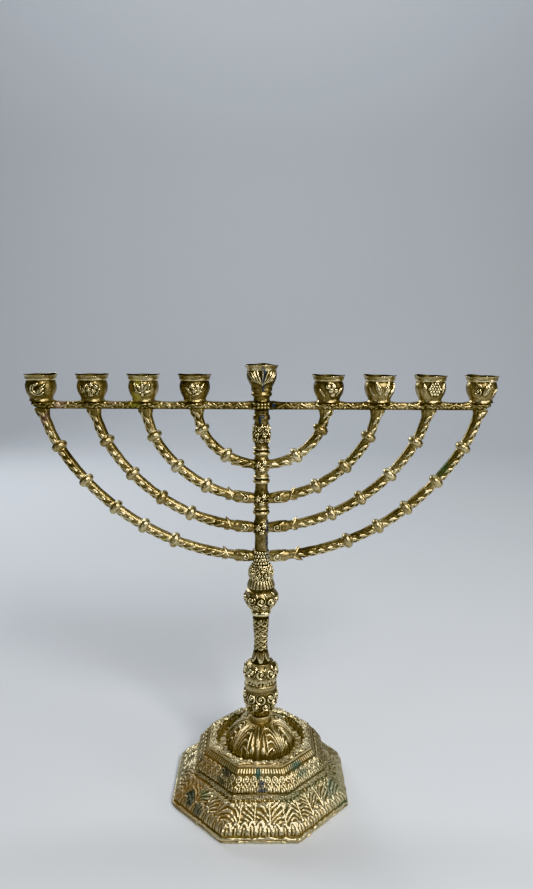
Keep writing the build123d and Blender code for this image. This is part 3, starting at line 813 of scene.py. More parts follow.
def upper_tier():
    """Short flutes under the edge, looped arches below, and leaf scrolls on the flat round the well."""
    outline = [(39.8, 20.9, 0), (39.8, 20.9, 0), (41.9, 21.0, 0), (41.9, 21.0, 0), (41.7, 22.4, 0),
               (37.8, 27.4, 0), (33.7, 32.2, 0), (33.3, 33.0, 0), (32.3, 33.2, 0.05), (32.3, 33.2, 0.05),
               (29.4, 33.0, 0.6), (26.8, 32.9, 1), (26.8, 32.9, 1), (26.3, 31.0, 1), (26.3, 28.2, 1),
               (26.3, 28.2, 1), (19.0, 28.0, 1)]
    inner = [(BORE, 28.0, 1), (BORE, 28.0, 1), (BORE, 25.7, 1), (BORE, 25.7, 1), (28.8, 25.7, 1),
             (28.8, 25.7, 1), (30.2, 29.6, 0.3), (34.8, 26.0, 0), (39.0, 21.5, 0)]
    body = Lathe(outline, inner, 0.29, 8 * 68, 0.2, 10)
    r = face_relief(body, False)
    body.rising = np.argmax(body.heights_of >= 33.1)
    at = body.at
    flutes = np.sqrt(np.clip(0.5 + 0.5 * np.cos(TAU * r.across * 8.5), 0, 1))
    r.add(0.45 * flutes * smoothstep(at(29.2), at(29.7), r.along) * smoothstep(at(31.9), at(31.4), r.along))
    for i, a in face_steps(7):
        tilt = 8 * math.sin(5 * i)
        r.stamp(loop, (a, at(27.2)), (2.1, 2.4), 0.8, tilt)
        r.stamp(arch, (a, at(23.4)), (1.9, 2.3), 0.75, -tilt)
        r.stamp(leaf, (a + 1 / 7, at(25.0)), (1.0, 2.0), 0.7)
    edge = at(33.0)
    r.add(0.55 * smoothstep(at(31.9), at(32.3), r.along) * smoothstep(edge + 1.3, edge + 0.5, r.along))
    body.wear_and_light_band(31.9, 33.4, 0.08, 0.2)
    body.wear_and_light_band(20.5, 22.0, 0.2)
    for i in range(5):
        a = -0.76 + i * 0.38
        flip = zigzag(i)
        r.stamp(s_curve, (a, edge + 3.6), (2.4, 4.0), 0.9, 68, flip)
        r.stamp(volute, (a + 0.17, edge + 2.6 + 1.6 * (i % 2)), (1.9, 1.8), 0.8, 90 * i, flip)
        r.stamp(leaf, (a - 0.15, edge + 4.9), (1.3, 2.4), 0.7, 50 * flip)
    for i in range(6):
        a = -0.85 + i * 0.34
        r.stamp(leaf, (a, edge + 9.2), (1.5, 2.4), 0.6, 25 * zigzag(i))
        r.stamp(s_curve, (a + 0.17, edge + 9.0), (1.0, 2.2), 0.55, 10)
        r.stamp(feather, (a, edge + 14.4), (1.9, 2.8), 0.6, 20 * zigzag(i))
    for corner in (-1, 1):
        r.stamp(volute, (0.84 * corner, edge + 3.2), (2.6, 2.6), 0.75, 0, corner)
    r.add(0.5 * smoothstep(0.0, 1.6, r.along - edge - 0.4) * smoothstep(7.4, 5.8, r.along - edge))
    wall = smoothstep(6.8, 7.6, r.along - edge)
    streak = np.cos(body.turn[:body.outer_rows] * 40 + 3 * value_noise(body.skin, 9.0, 9))
    r.add(wall * (0.5 + 0.16 * streak + 0.3 * value_noise(body.skin, 2.0, 8)))
    body.relief = r
    # The well's wall is painted lighter to lift its shade; the whole tier is a little darker.
    body.wear_and_painted_light += 0.08 * wall - 0.05
    # The wide DARK spot at (0, -24, 29) is painted shadow at the front of the well.
    spots = [(TEAL, (-1.0, -34, 29.8), (2.8, 5, 3.4), 1.0), (BLUE, (0.6, -37, 25.6), (2.2, 5, 2.6), 0.9),
             (BLUE, (1.0, -40, 22.6), (4.2, 5, 2.0), 1.0), (DARK, (-20, -30, 28.0), (4.2, 6, 3.6), 1.0),
             (DARK, (-24, -32, 23.4), (4.8, 6, 2.2), 1.0), (TEAL, (22, -27, 30.2), (7.5, 6, 2.8), 0.9),
             (TEAL, (25, -28, 26.0), (6.0, 6, 3.0), 0.7), (DARK, (31, -23, 27), (2.2, 5, 2.6), 0.5),
             (MOSS, (-17, 20, 33), (7, 6, 2), 0.6), (SLATE, (-36, -14, 27), (3, 4, 4), 0.6),
             (SLATE, (-22, -12, 29), (5, 8, 4), 0.5), (DARK, (0, -24, 29), (15, 5, 3.4), 0.6),
             (RUST, (-28, -24, 26), (10, 8, 6), 0.35), (MOSS, (22, 12, 31), (8, 10, 4), 0.4),
             (RUST, (0, -30.5, 32.8), (22, 3, 1.2), 0.35), (BROWN, (-32, -18, 27), (14, 18, 9), 0.55),
             (BROWN, (0, 0, 29), (27, 27, 2.6), 0.3)]
    put(body.mesh("base_upper_tier", 0.6, spots, 0.09, depth=0.5), "base_brass", "octagonal_base")


# ---- Column

BAR_Z, BAR_HALF, BAR_END = 238.3, 2.75, 131.0
DISC_RADIUS, BOSS_RADIUS = 6.4, 6.5
ARM_RADIUS, KNUCKLE_HALF = 2.85, 2.6
CUP_Z, SHAMASH_Z, CUP_REACH = 240.8, 246.6, 9.5
ROOTS = {"inner": 203.8, "third": 183.7, "second": 166.3, "outer": 148.6}


def centre_column():
    """Four bosses set with flowers, double beads between them, and a drum below the crossbar."""
    outline = [(0.3, 144.3), (0.3, 144.3), (5.0, 144.3), (5.0, 144.3), (5.3, 146.5), (5.1, 151.8),
               (4.1, 153.4)]
    for below, above, bead_z in ((153.4, 162.0, None), (170.6, 179.4, 177.0), (188.0, 199.4, 195.6)):
        outline.append((4.1, below + 0.9))
        if bead_z:
            outline += double_bead(bead_z)
        outline += [(4.1, above + 0.2), (4.75, above + 1.0), (5.05, above + 4.2), (4.75, above + 7.6)]
    outline += [(4.1, 208.6), *double_bead(212.2), (4.15, 215.6), (4.6, 216.6), (5.0, 218.4), (5.2, 221.8),
                (5.0, 225.4), (4.6, 227.0), (4.4, 228.4), (4.4, 229.4), (4.4, 229.4), (5.15, 230.2),
                (5.25, 231.4), (4.9, 232.8), (4.45, 233.2), (4.45, 233.2), (4.4, 235.8), (4.4, 235.8),
                (0.3, 235.8)]
    body = Lathe(outline, (), 0.24, 180, 0.06, 12)
    r, at = body.relief, body.at
    for root in ROOTS.values():
        for a in (0.0, math.pi):
            if root == ROOTS["outer"]:
                for row, i in np.ndindex(4, 7):
                    across = a + (i - 3 + 0.5 * (row % 2)) * 0.33
                    r.stamp(bead, (across, at(root - 3.4 + 2.2 * row)), (0.78, 1.0), 0.6)
                continue
            r.stamp(petals, (a - 0.44, at(root + 0.6)), (2.1, 2.1), 0.85, 20)
            r.stamp(petals, (a + 0.42, at(root + 1.8)), (2.1, 2.1), 0.85)
            r.stamp(petals, (a + 0.06, at(root - 2.3)), (2.0, 1.9), 0.8, 40)
            for i in range(6):
                side = a + 1.05 * zigzag(i)
                r.stamp(leaf, (side, at(root - 3 + i)), (0.9, 1.6), 0.5, 70 * zigzag(i))
    for row in range(3):
        z = 218.7 + 3.1 * row
        r.ring(volute, 7, at(z), (1.6, 1.5), 0.65, 0.35 * row, 70 * row, row != 1)
        r.ring(s_curve, 7, at(z + 0.6), (0.8, 1.9), 0.55, 0.35 * row + 0.5, 30 - 55 * (row % 2))
    r.ring(bead, 14, at(226.4), (0.7, 0.6), 0.45)
    spots = [(BLUE, *spot) for spot in (
        ((-0.8, -4.8, 230.4), (1.2, 2, 3.8), 0.95), ((0.4, -5, 232.4), (1.9, 2, 1.2), 0.9),
        ((3.5, -3.2, 168.0), (1.7, 2.8, 4.6), 0.95), ((3.3, -2.0, 158.0), (1.4, 2.8, 8.6), 0.95),
        ((3.9, -2.6, 150.3), (2.3, 3.0, 4.4), 0.95))]
    # Painted highlights on the two ridges of each double bead and painted shade in the groove between them.
    for bead_z in (177.0, 195.6, 212.2):
        body.wear_and_light_band(bead_z - 2.8, bead_z + 2.5, 0.12)
        body.wear_and_light_band(bead_z - 2.2, bead_z - 0.9, 0.24, 0.3)
        body.wear_and_light_band(bead_z + 0.7, bead_z + 1.9, 0.24, 0.3)
        body.wear_and_light_band(bead_z - 0.1, bead_z + 0.3, -0.4, 0.15)
    piece = body.mesh("centre_column_casting", 0.32, spots, 0.04, 0.5, depth=0.4)
    put(piece, "stem_brass", "centre_column")


def double_bead(z):
    """Outline of two ridges with a groove between them, the lower one larger."""
    return [(4.1, z - 3.0), (4.95, z - 2.5), (5.4, z - 1.4), (5.05, z - 0.4), (4.35, z + 0.1),
            (4.35, z + 0.1), (5.0, z + 0.7), (5.05, z + 1.6), (4.2, z + 2.6)]


# ---- Arms


def arm(side, name, cup, knuckles, thorn_x, spots):
    """Curved arm with ring knuckles: plain along its upper side, overlapping leaves along its lower side."""
    root = ROOTS[name]
    reach, rise = 1.02 * cup, BAR_Z - root
    radius = (reach**2 + rise**2) / (2 * rise)
    centre = root + radius
    start, end = math.asin(4.2 / radius), math.acos((centre - 237.4) / radius)
    length = radius * (end - start)
    rows = int(length / 0.26)
    angle = np.linspace(start, end, rows)[:, None]
    run = (angle - start) * radius
    columns = 76
    around = (np.arange(columns) / columns * TAU)[None, :]
    seed = 20 + int(cup) + (5 if side > 0 else 0)
    thick = np.full(angle.shape, ARM_RADIUS)
    if name != "inner":
        x = radius * np.sin(angle)
        thick = thick + 0.7 * np.sqrt(np.clip(1 - ((x - 10.4) / 5.6) ** 2, 0, 1))
    thick = thick + 0.16 * value_noise(np.concatenate([run, run * 0, run * 0], 1), 4.0, seed)[:, None]
    plain = np.zeros(angle.shape)
    stops = [0.0 if name == "inner" else radius * math.asin(16 / radius)]
    for knuckle in knuckles:
        at = (math.radians(knuckle) - start) * radius
        ds = run - at
        ring = 2.75 + 1.85 * np.clip(1 - (np.abs(ds) / 2.3) ** 2.2, 0, 1) ** 0.65
        thick = np.where(np.abs(ds) < KNUCKLE_HALF, ring + 0.12 * np.sin(3 * around + at), thick)
        plain = np.maximum(plain, smoothstep(3.3, 2.7, np.abs(ds)))
        stops.append(at)
    stops.append(length)
    down = np.where(around > math.pi, around - TAU, around) * side
    front = np.where(np.abs(down) > math.pi / 2, np.sign(down) * math.pi - down, down)
    skin = arm_points(side, radius, centre, angle, around, thick)
    r = Relief(front, thick, run + 0 * around, False, skin, seed)
    for first, last in pairwise(stops):
        first, last = first + KNUCKLE_HALF, last - KNUCKLE_HALF
        count = max(2, int(round((last - first) / 2.9)))
        for i in range(count):
            s = first + (i + 0.5) * (last - first) / count
            low = i % 2
            r.stamp(leaf, (0.20 + 0.6 * low, s), (1.5, 2.9), 0.75, 20 if low else -26)
            r.stamp(leaf, (1.3 - 0.4 * low, s + 1.2), (1.0, 2.2), 0.6, -30 if low else 30)
            r.stamp(leaf, (-0.6, s + 1.2), (0.5, 1.5), 0.22, -12)
    if name != "inner":
        bulb = radius * math.asin(10.4 / radius) - 4.2
        r.stamp(volute, (0.0, bulb - 1.2), (2.3, 2.6), 0.6, 90, side)
        r.stamp(leaf, (0.9, bulb + 2.0), (1.4, 3.0), 0.6, -35)
        r.stamp(leaf, (-0.8, bulb + 2.2), (1.2, 2.6), 0.4, 35)
    fade = np.where(down > 0, 1.0, smoothstep(-1.5, -0.9, front)) * (1 - plain)
    height = r.height * fade
    fine = value_noise(skin, 0.8, seed) * 0.05 + value_noise(skin, 2.4, seed + 1) * 0.08
    # Wear with painted shade in the leaves' grooves; the arm's upper side is painted darker still, as painted
    # shade.
    wear_and_shading = 0.5 + 0.8 * (wear_and_shade_of(height) - 0.5)
    tall = np.clip(wear_and_shading * (1 - plain) + 0.60 * plain - 0.12 * (down < -0.3) * (1 - plain), 0, 1)
    fine = fine * (1 - 0.8 * plain)
    solid = thick + height * 0.7 - 0.08 * (1 - plain) + fine
    level = centre - radius * np.cos(angle)
    web = 1.7 * smoothstep(230.5, 236.4, level)
    points = arm_points(side, radius, centre, angle, around, solid, web)
    points[..., 0] -= side * 1.9 * smoothstep(216.0, 240.0, level)
    long_one = name == "outer" and side > 0
    shapes = ((-0.9, 52.0, 3.8 if name == "inner" else 6.6), (-1.0, -34.0, 6.2 if long_one else 4.4))
    extra = [thorn(side, radius, centre, thorn_x, *shape) for shape in shapes]
    node_name = f"arm_{SIDE_NAMES[side]}_{name}"
    piece = grid_mesh(f"{node_name}_casting", points, tall, spots, seed, False, True, extra)
    put(piece, "arm_brass", node_name)


def arm_points(side, radius, centre, angle, around, thick, web=0.0):
    """Points round an arc in the XZ plane: around is 0 at the front, and web widens it in that plane."""
    out = radius + (thick + web) * np.sin(around) * side
    x = side * out * np.sin(angle)
    z = centre - out * np.cos(angle)
    return np.stack(np.broadcast_arrays(x, -thick * np.cos(around), z), -1)


def thorn(side, radius, centre, at, rise, lean, length):
    """Closed leaf-shaped spike at a place on the arm, rising from its centre line and leaning outwards."""
    turn = math.asin(at / radius)
    along = np.array([side * math.cos(turn), 0, math.sin(turn)])
    up = np.array([-side * math.sin(turn), 0, math.cos(turn)])
    foot = np.array([side * radius * math.sin(turn), 0, centre - radius * math.cos(turn)]) + rise * up
    lean = math.radians(lean)
    direction = math.cos(lean) * along + math.sin(lean) * up
    across = np.cross(direction, [0, 1, 0])
    points, faces, rings, sides = [], [], 9, 14
    for i, j in np.ndindex(rings, sides):
        t, a = i / (rings - 1), j / sides * TAU
        wide = 0.7 + 0.75 * math.sin(math.pi * (0.15 + 0.6 * t))
        offset = wide * math.cos(a) * across + 3.5 * (1 - 0.5 * t) * math.sin(a) * np.array([0, 1, 0])
        points.append(foot + direction * length * t + offset * (1 - 0.85 * t**3))
    for i, j in np.ndindex(rings - 1, sides):
        here, there, k = i * sides, (i + 1) * sides, (j + 1) % sides
        faces.append((here + j, here + k, there + k, there + j))
    points += [foot, foot + direction * (length + 0.3)]
    top, count, caps = (rings - 1) * sides, rings * sides, []
    for j in range(sides):
        k = (j + 1) % sides
        caps += [(count, k, j), (count + 1, top + j, top + k)]
    return np.array(points), faces, caps


# ---- Crossbar

CUPS = {"inner": 38.0, "third": 67.0, "second": 96.0, "outer": 125.0}
SIDE_NAMES = {-1: "left", 1: "right"}


def crossbar():
    """Bar with a running vine on its faces, a disc under each cup and a beaded boss in the middle."""
    places = [side * cup for side in (-1, 1) for cup in CUPS.values()]
    rims = (np.linspace(-6.7, -5.2, 14), np.linspace(5.2, 6.7, 14))
    x = [np.linspace(-BAR_END, BAR_END, 860)] + [place + rim for place in (*places, 0.0) for rim in rims]
    x = np.unique(np.round(np.concatenate(x), 3))
    x = x[np.abs(x) <= BAR_END][:, None]
    columns = 72
    around = (np.arange(columns) / columns * TAU)[None, :]
    c, s = np.cos(around), np.sin(around)
    side, rise = np.sign(c) * np.abs(c) ** 0.5, np.sign(s) * np.abs(s) ** 0.75
    half = np.full(x.shape, BAR_HALF)
    end = np.sqrt(np.clip(1 - ((np.abs(x) - 128.0) / 3.0).clip(0) ** 2, 0, 1))
    top = half.copy()
    for place in places:
        top = np.maximum(top, np.sqrt(np.clip(DISC_RADIUS**2 - (x - place) ** 2, 0, None)))
        half = np.maximum(half, BAR_HALF + 0.9 * ridge(x - place, 3.2))
    boss = np.sqrt(np.clip(BOSS_RADIUS**2 - x * x, 0, None))
    top, half = np.maximum(top, boss), np.maximum(half, boss)
    wide = half + (top - half) * smoothstep(-0.05, 0.30, rise)
    nearest = np.min([np.abs(x - place) for place in (*places, 0.0)], 0)
    tall = 2.5 - (rise < 0) * (0.15 * (np.abs(x) > 7) + 2.0 * smoothstep(125.5, 130.5, np.abs(x)))
    tall = tall - (rise > 0) * 0.55 * smoothstep(6.0, 11.5, nearest)
    y, z = -side * wide * end, rise * tall * (0.35 + 0.65 * end)
    skin = np.stack(np.broadcast_arrays(x, y, z + BAR_Z), -1)
    r = Relief(x + 0 * z, 1.0, z + 0 * x, False, skin, 40)
    pitch = 4.4
    for i in range(60):
        sway = math.sin(5.3 * i)
        at = (i - 29.5) * pitch + 0.5 * sway
        if abs(at) < 8:
            continue
        up = zigzag(i)
        r.stamp(leaf, (at, 0.25 * up), (1.3, 2.5 + 0.4 * sway), 0.7, (66 + 14 * sway) * up)
        r.stamp(leaf, (at + 1.9, -0.7 * up), (1.0, 1.8 - 0.4 * sway), 0.65, 100 - (30 + 22 * sway) * up)
        r.stamp(bead, (at + 1.1 - 0.4 * sway, 1.1 * up), (0.9, 0.75), 0.55)
        r.stamp(s_curve, (at + 2.6, 0.3 * sway), (0.8, 1.7), 0.5, 80)
    for i in range(5):
        r.stamp(bead, ((i - 2) * 2.1, 1.2), (1.0, 0.95), 0.8)
        r.stamp(bead, ((i - 2.5) * 2.1 + 1.05, -0.9), (1.0, 0.95), 0.8)
    on_face = smoothstep(0.55, 0.8, np.abs(side)) * smoothstep(0.0, 0.4, 3.4 - np.abs(top - half))
    height = r.height * on_face * (end > 0.9)
    fine = value_noise(skin, 0.9, 41) * 0.05 + value_noise(skin, 3.5, 42) * 0.2
    y = y - (height * 0.7 + fine) * np.sign(side) * np.abs(side)
    z = z + fine * 0.6 * np.sign(rise) * (np.abs(z) < 2.2)
    spots = [(BLUE, (6.8, -3, 238.4), (1.6, 2.5, 1.7), 0.95), (PINK, (-114, -2, 238.6), (4, 5, 2.5), 0.5),
             (YELLOW, (-71, -3, 239.2), (5, 5, 2.4), 0.6), (PINK, (-84, -2, 239.4), (3, 4, 1.6), 0.35),
             (YELLOW, (-58, -3, 238.0), (2.4, 4, 1.6), 0.35)]
    points = np.stack(np.broadcast_arrays(x, y, z + BAR_Z), -1)[::-1]
    # Wear on the vine's ridges with painted shade in its grooves, a little darker overall.
    wear_and_shading = np.clip(wear_and_shade_of(height, 2, 2) * 0.75 - 0.07, 0, 1)
    piece = grid_mesh("crossbar_casting", points, wear_and_shading[::-1], spots, 43, False, True)
    put(piece, "arm_brass", "crossbar")


# ---- Candle cups


# The plants on the cups: motif, angle, height on the cup, half width, half height, relief, turn, mirroring.
CRESCENT = ((sickle, -0.10, 7.0, 4.4, 4.0, 0.8), (feather, 0.08, 5.8, 2.2, 3.2, 0.85, -62),
            (bead, -0.16, 9.6, 1.9, 1.0, 0.75, 20), (leaf, 0.32, 8.8, 1.3, 2.4, 0.7, -50),
            (leaf, -0.42, 4.6, 1.1, 2.6, 0.65, 50))
CLUSTER = ((petals, -0.26, 9.0, 1.8, 1.7, 0.85, 0), (petals, 0.08, 9.8, 1.8, 1.7, 0.85, 30),
           (petals, 0.40, 8.4, 1.8, 1.7, 0.85, 60), (petals, -0.10, 6.6, 1.8, 1.7, 0.85, 90),
           (petals, 0.24, 5.8, 1.8, 1.7, 0.85, 120), (petals, 0.02, 3.8, 1.8, 1.7, 0.85, 150),
           (petals, -0.42, 6.4, 1.8, 1.7, 0.85, 180), (leaf, -0.62, 6.8, 1.1, 2.6, 0.6, 20),
           (leaf, 0.55, 5.4, 1.0, 2.2, 0.6, -25))
VINE = ((leaf, 0.24, 8.4, 1.5, 3.4, 0.85, -34), (leaf, -0.24, 8.4, 1.5, 3.4, 0.85, 34),
        (leaf, 0.0, 8.8, 1.5, 3.4, 0.85, 0), (leaf, 0.32, 5.6, 1.5, 2.4, 0.85, -75),
        (leaf, -0.32, 5.6, 1.5, 2.4, 0.85, 75), (leaf, 0.46, 8.6, 1.5, 2.6, 0.85, -20),
        (leaf, -0.46, 8.6, 1.5, 2.6, 0.85, 20), (bead, 0.0, 4.0, 0.9, 1.5, 0.8))
FIGS = ((petals, -0.20, 9.0, 1.8, 1.8, 0.7, -10), (petals, 0.22, 8.6, 1.8, 1.8, 0.7, 11),
        (petals, 0.0, 6.2, 1.8, 1.8, 0.7, 0), (petals, 0.36, 5.8, 1.8, 1.8, 0.7, 18),
        (leaf, 0.52, 8.8, 1.2, 2.6, 0.75, -35), (leaf, -0.44, 6.6, 1.4, 3.0, 0.75, 40),
        (leaf, 0.1, 4.0, 1.0, 2.2, 0.65, -75))
FRUITS = ((bead, -0.18, 9.0, 1.6, 1.6, 0.75), (bead, 0.20, 9.4, 1.6, 1.6, 0.75),
          (bead, 0.02, 6.6, 1.6, 1.6, 0.75), (bead, 0.36, 6.4, 1.6, 1.6, 0.75),
          (bead, 0.18, 4.2, 1.6, 1.6, 0.75), (leaf, 0.0, 10.9, 1.3, 2.4, 0.8, 80),
          (leaf, 0.62, 6.0, 1.4, 3.0, 0.75, -35), (leaf, -0.62, 5.6, 1.4, 3.0, 0.75, 35))
BARLEY = ((feather, -0.30, 8.2, 2.7, 4.4, 0.9, 22), (feather, 0.34, 8.0, 2.7, 4.4, 0.9, -16),
          (s_curve, 0.78, 6.8, 1.5, 4.0, 0.7, -10), (leaf, -0.78, 6.2, 1.2, 3.0, 0.65, 30))
GRAPES = ((berries_drop, 0.0, 7.6, 4.0, 4.4, 0.9), (leaf, -0.66, 8.4, 1.5, 3.2, 0.75, 20),
          (leaf, 0.66, 8.4, 1.5, 3.2, 0.75, -20), (leaf, 0.2, 12.0, 0.8, 1.8, 0.7, -80))
CURLED_LEAF = ((leaf, 0.05, 8.4, 3.0, 4.8, 0.9, -24), (volute, -0.55, 6.4, 2.0, 2.2, 0.8, 0, -1),
               (leaf, 0.68, 6.4, 1.4, 3.2, 0.7, -40), (leaf, -0.55, 10.4, 1.1, 2.4, 0.65, 50))
FAN = [(stem_line, 0.0, 7.6, 0.6, 4.8, 0.9)]
for side in (-1, 1):
    for i in range(1, 5):
        across = side * 0.2 * i
        FAN.append((stem_line, across, 7.0 + 0.35 * i, 0.62, 5.2 - 0.55 * i, 0.85, -side * (14 + 7 * i)))
        across = side * (0.2 * i + 0.08)
        FAN.append((leaf, across, 4.4 + 0.5 * i, 0.7, 2.0, 0.6, -side * (40 + 6 * i)))


def candle_cup(name, x, foot, plant, seed, spots=(), dull=0.0, raised=False, wave=0.3):
    """Cup on a ring foot, with a thin wavy lip and a plant pressed in on its front and back."""
    below = [(0.3, -0.3), (0.3, -0.3), (7.2, -0.3)]
    outline = [(7.2, -0.3), (6.85, 0.3), (6.6, 0.9), (6.75, 1.5), (7.4, 2.6), (8.4, 4.7), (8.95, 7.2),
               (8.9, 9.2), (8.35, 11.1), (8.2, 11.6), (8.2, 11.6), (8.6, 12.0), (8.75, 12.7), (8.75, 13.3),
               (9.1, 14.2), (9.5, 14.9), (9.5, 15.1), (9.3, 15.2)]
    if raised:
        below = [(0.3, -5.8), (0.3, -5.8), (4.9, -5.8), (4.9, -5.8), (4.7, -4.2), (5.0, -3.4), (5.9, -2.7),
                 (6.1, -1.8), (5.7, -0.8), (5.5, -0.3)]
        outline = [(6.1, 0.0), (6.2, 1.0), (6.6, 2.6), (7.7, 4.8), (8.6, 7.2), (8.85, 9.2), (8.5, 11.6),
                   (8.5, 12.6), (8.9, 13.7), (9.5, 14.7), (9.5, 15.0), (9.3, 15.2)]
    inner = [(8.75, 15.15), (8.3, 14.4), (7.4, 12.6), (6.3, 11.9), (6.3, 11.9), (6.25, 4.6), (6.25, 4.6),
             (0.3, 4.6)]
    body = Lathe([(r, foot + z) for r, z in [*below, *outline, *inner]], (), 0.21, 264, 0.1, seed)
    r = body.relief
    level = body.skin[..., 2]
    rim = body.rising = int(np.argmax(body.heights_of >= level.max() - 0.05))
    for face in (0.06, math.pi + 0.06):
        for motif, across, z, wide, high, height, *how in plant:
            r.stamp(motif, (face + across, body.at(foot + z)), (wide, high), height, *how)
    r.height[rim:] = 0
    bowl = (np.arange(len(r.height)) < rim)[:, None]
    up = level - foot
    r.add(bowl * (0.3 * smoothstep(11.4, 11.8, up) + 0.2 * smoothstep(1.8, 0.8, up)))
    # Painted shade inside the cup.
    body.wear_and_painted_light[rim + 2:] -= 0.4
    body.wear_and_painted_light -= dull
    # Painted highlight on the rounded ridge under the lip.
    body.wear_and_light_band(foot + 11.6, foot + 13.0, 0.25, 0.2)

    def bend(points):
        """The lip rises and falls, and nothing reaches past the CAD's lip."""
        x, y, z = np.moveaxis(points, -1, 0)
        turn = np.arctan2(x, -y)
        free = smoothstep(foot + 11.0, foot + 15.4, z) * (np.hypot(x, y) > 6.6)
        z -= free * wave * (1 + np.cos(2 * turn + 0.4 * seed) + 0.5 * np.cos(5 * turn + seed)) * 0.9
        reach = np.hypot(x, y) * (1 - free * 0.008 * (1 + np.cos(3 * turn + seed)))
        points[..., :2] *= np.minimum(1, CUP_REACH / np.maximum(reach, 0.1))[..., None]
        return points

    piece = body.mesh(f"{name}_casting", 0.35, spots, 0.05, 0.3 if spots else 0.0, x, bend, 0.18)
    put(piece, "cup_brass", name)


# ---- Stage


def camera():
    """Front view from a little above, close enough for the base to show its top."""
    made = bpy.data.objects.new("camera", bpy.data.cameras.new("camera"))
    bpy.context.scene.collection.objects.link(made)
    made.data.sensor_width = 36.0
    made.data.lens = 28.04
    made.location = (0.00017, -0.3929, 0.2833)
    pitch, heading, roll = math.radians(9.778), math.radians(-0.396), math.radians(0.275)
    made.rotation_mode = "XYZ"
    turned = (Matrix.Rotation(heading, 3, "Z") @ Matrix.Rotation(math.radians(90) - pitch, 3, "X")
              @ Matrix.Rotation(roll, 3, "Z"))
    made.rotation_euler = turned.to_euler()
    made.data.clip_start = 0.01
    bpy.context.scene.camera = made


def area_light(name, place, target, size, power, colour):
    made = bpy.data.objects.new(name, bpy.data.lights.new(name, "AREA"))
    made.data.shape, made.data.size, made.data.size_y = "RECTANGLE", size[0], size[1]
    made.data.energy, made.data.color = power, colour
    made.location = place
    aim = Vector(target) - Vector(place)
    made.rotation_euler = aim.to_track_quat("-Z", "Y").to_euler()
    bpy.context.scene.collection.objects.link(made)


def stage():
    """Pale floor that curves up behind, and soft lights."""
    floor = bpy.data.meshes.new("floor")
    bend = np.radians(np.linspace(0, 90, 25))
    steps = [(-7.0, 0.0)] + [(1.2 + 0.9 * math.sin(a), 0.9 - 0.9 * math.cos(a)) for a in bend] + [(2.1, 4.0)]
    points = [(x, y, z) for y, z in steps for x in (-7.0, 7.0)]
    floor.from_pydata(points, [], [(2 * i, 2 * i + 1, 2 * i + 3, 2 * i + 2) for i in range(len(steps) - 1)])
    floor.shade_smooth()
    sheet = bpy.data.objects.new("floor", floor)
    bpy.context.scene.collection.objects.link(sheet)
    material, tree, shader = new_material("floor")
    feed(tree, shader, {"Base Color": (0.60, 0.62, 0.65, 1), "Roughness": 0.85})
    floor.materials.append(material)
    area_light("key", (0.42, -0.85, 1.0), (0, 0, 0.12), (0.45, 0.35), 15, (1.0, 0.98, 0.94))
    area_light("side", (1.1, -0.6, 0.45), (0, 0, 0.14), (0.25, 0.5), 3.0, (1.0, 0.97, 0.92))
    area_light("fill", (-0.9, -0.9, 0.5), (0, 0, 0.14), (0.25, 0.5), 0.9, (0.95, 0.96, 1.0))
    area_light("rim", (-0.7, 0.9, 0.7), (0, 0, 0.15), (0.4, 0.4), 4, (0.95, 0.98, 1.0))
    area_light("backdrop", (0, 0.7, 2.4), (0, 2.1, 0.7), (3.0, 0.6), 30, (0.93, 0.97, 1.0))
    world = bpy.data.worlds.new("studio")
    world.use_nodes = True
    tree = world.node_tree
    seen = node(tree, "ShaderNodeLightPath").outputs["Is Camera Ray"]
    strength = maths(tree, "ADD", maths(tree, "MULTIPLY", seen, 0.85), 0.17)
    feed(tree, tree.nodes["Background"], {"Color": (0.45, 0.48, 0.52, 1), "Strength": strength})
    bpy.context.scene.world = world


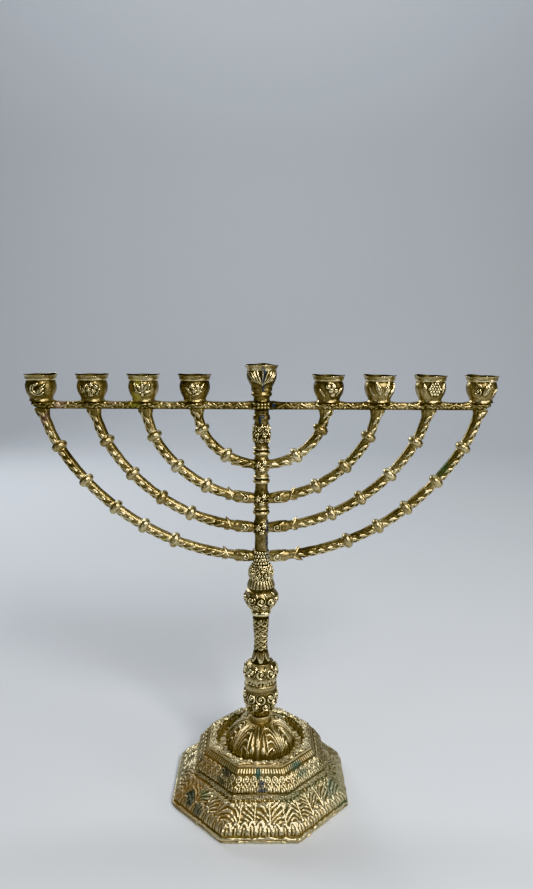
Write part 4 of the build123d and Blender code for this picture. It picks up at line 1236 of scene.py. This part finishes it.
bpy.context.scene.view_settings.view_transform = "Khronos PBR Neutral"
camera()
stage()
lower_tier()
upper_tier()
domed_foot()
stem()
centre_column()
ARM_SHAPES = {"inner": ((31.0, 62.0), 13.0), "third": ((27.0, 43.6, 61.6), 16.5),
              "second": ((23.6, 34.3, 46.5, 59.9), 17.5), "outer": ((22.0, 30.4, 38.7, 48.5, 59.0), 19.0)}
ARM_SPOTS = {(-1, "outer"): [(YELLOW, (-57.5, -1, 158.5), (3.0, 4, 3.0), 0.6),
                             (PINK, (-123.5, -1, 230), (3.5, 4, 5), 0.45)],
             (1, "outer"): [(GREEN, (103.8, -1.5, 204.6), (6.2, 4, 9.4), 0.85)],
             (-1, "third"): [(WHITE, (-50, -1, 201.6), (3.2, 4, 4.5), 0.65)],
             (-1, "inner"): [(WHITE, (-21.3, -2.5, 205.6), (2.6, 3.4, 2.6), 0.75)]}
for side in (-1, 1):
    for name, (knuckles, thorn_x) in ARM_SHAPES.items():
        arm(side, name, CUPS[name], knuckles, thorn_x, ARM_SPOTS.get((side, name), ()))
crossbar()
CUP_SPOTS = ((YELLOW, (-2.6, -8, 252.4), (3.4, 4, 3.4), 0.5), (YELLOW, (-3.6, -6, 243.5), (4.2, 5, 3.2), 0.6),
             (SLATE, (0.8, -9, 248.5), (2.4, 3, 3.6), 0.4))
SHAMASH_SPOTS = ((BLUE, (1.2, -8.6, 258.4), (1.9, 3, 3.0), 0.95),
                 (BLUE, (0.7, -8, 254.0), (1.4, 3, 4.4), 0.95),
                 (BLUE, (0.9, -7, 249.0), (1.1, 3, 4.0), 0.9))
PLANTS = ((-1, "outer", CRESCENT), (-1, "second", CLUSTER, (), 0.06), (-1, "third", VINE, CUP_SPOTS),
          (-1, "inner", FIGS, (), 0.18), (1, "inner", FRUITS, (), 0.06), (1, "third", BARLEY),
          (1, "second", GRAPES), (1, "outer", CURLED_LEAF))
for number, (side, name, plant, *looks) in enumerate(PLANTS):
    candle_cup(f"cup_{SIDE_NAMES[side]}_{name}", side * CUPS[name], CUP_Z, plant, 60 + number, *looks)
candle_cup("shamash_cup", 0.0, SHAMASH_Z, FAN, 70, SHAMASH_SPOTS, 0.12, True, 0.4)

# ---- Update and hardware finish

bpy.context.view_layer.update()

finish_hardware()
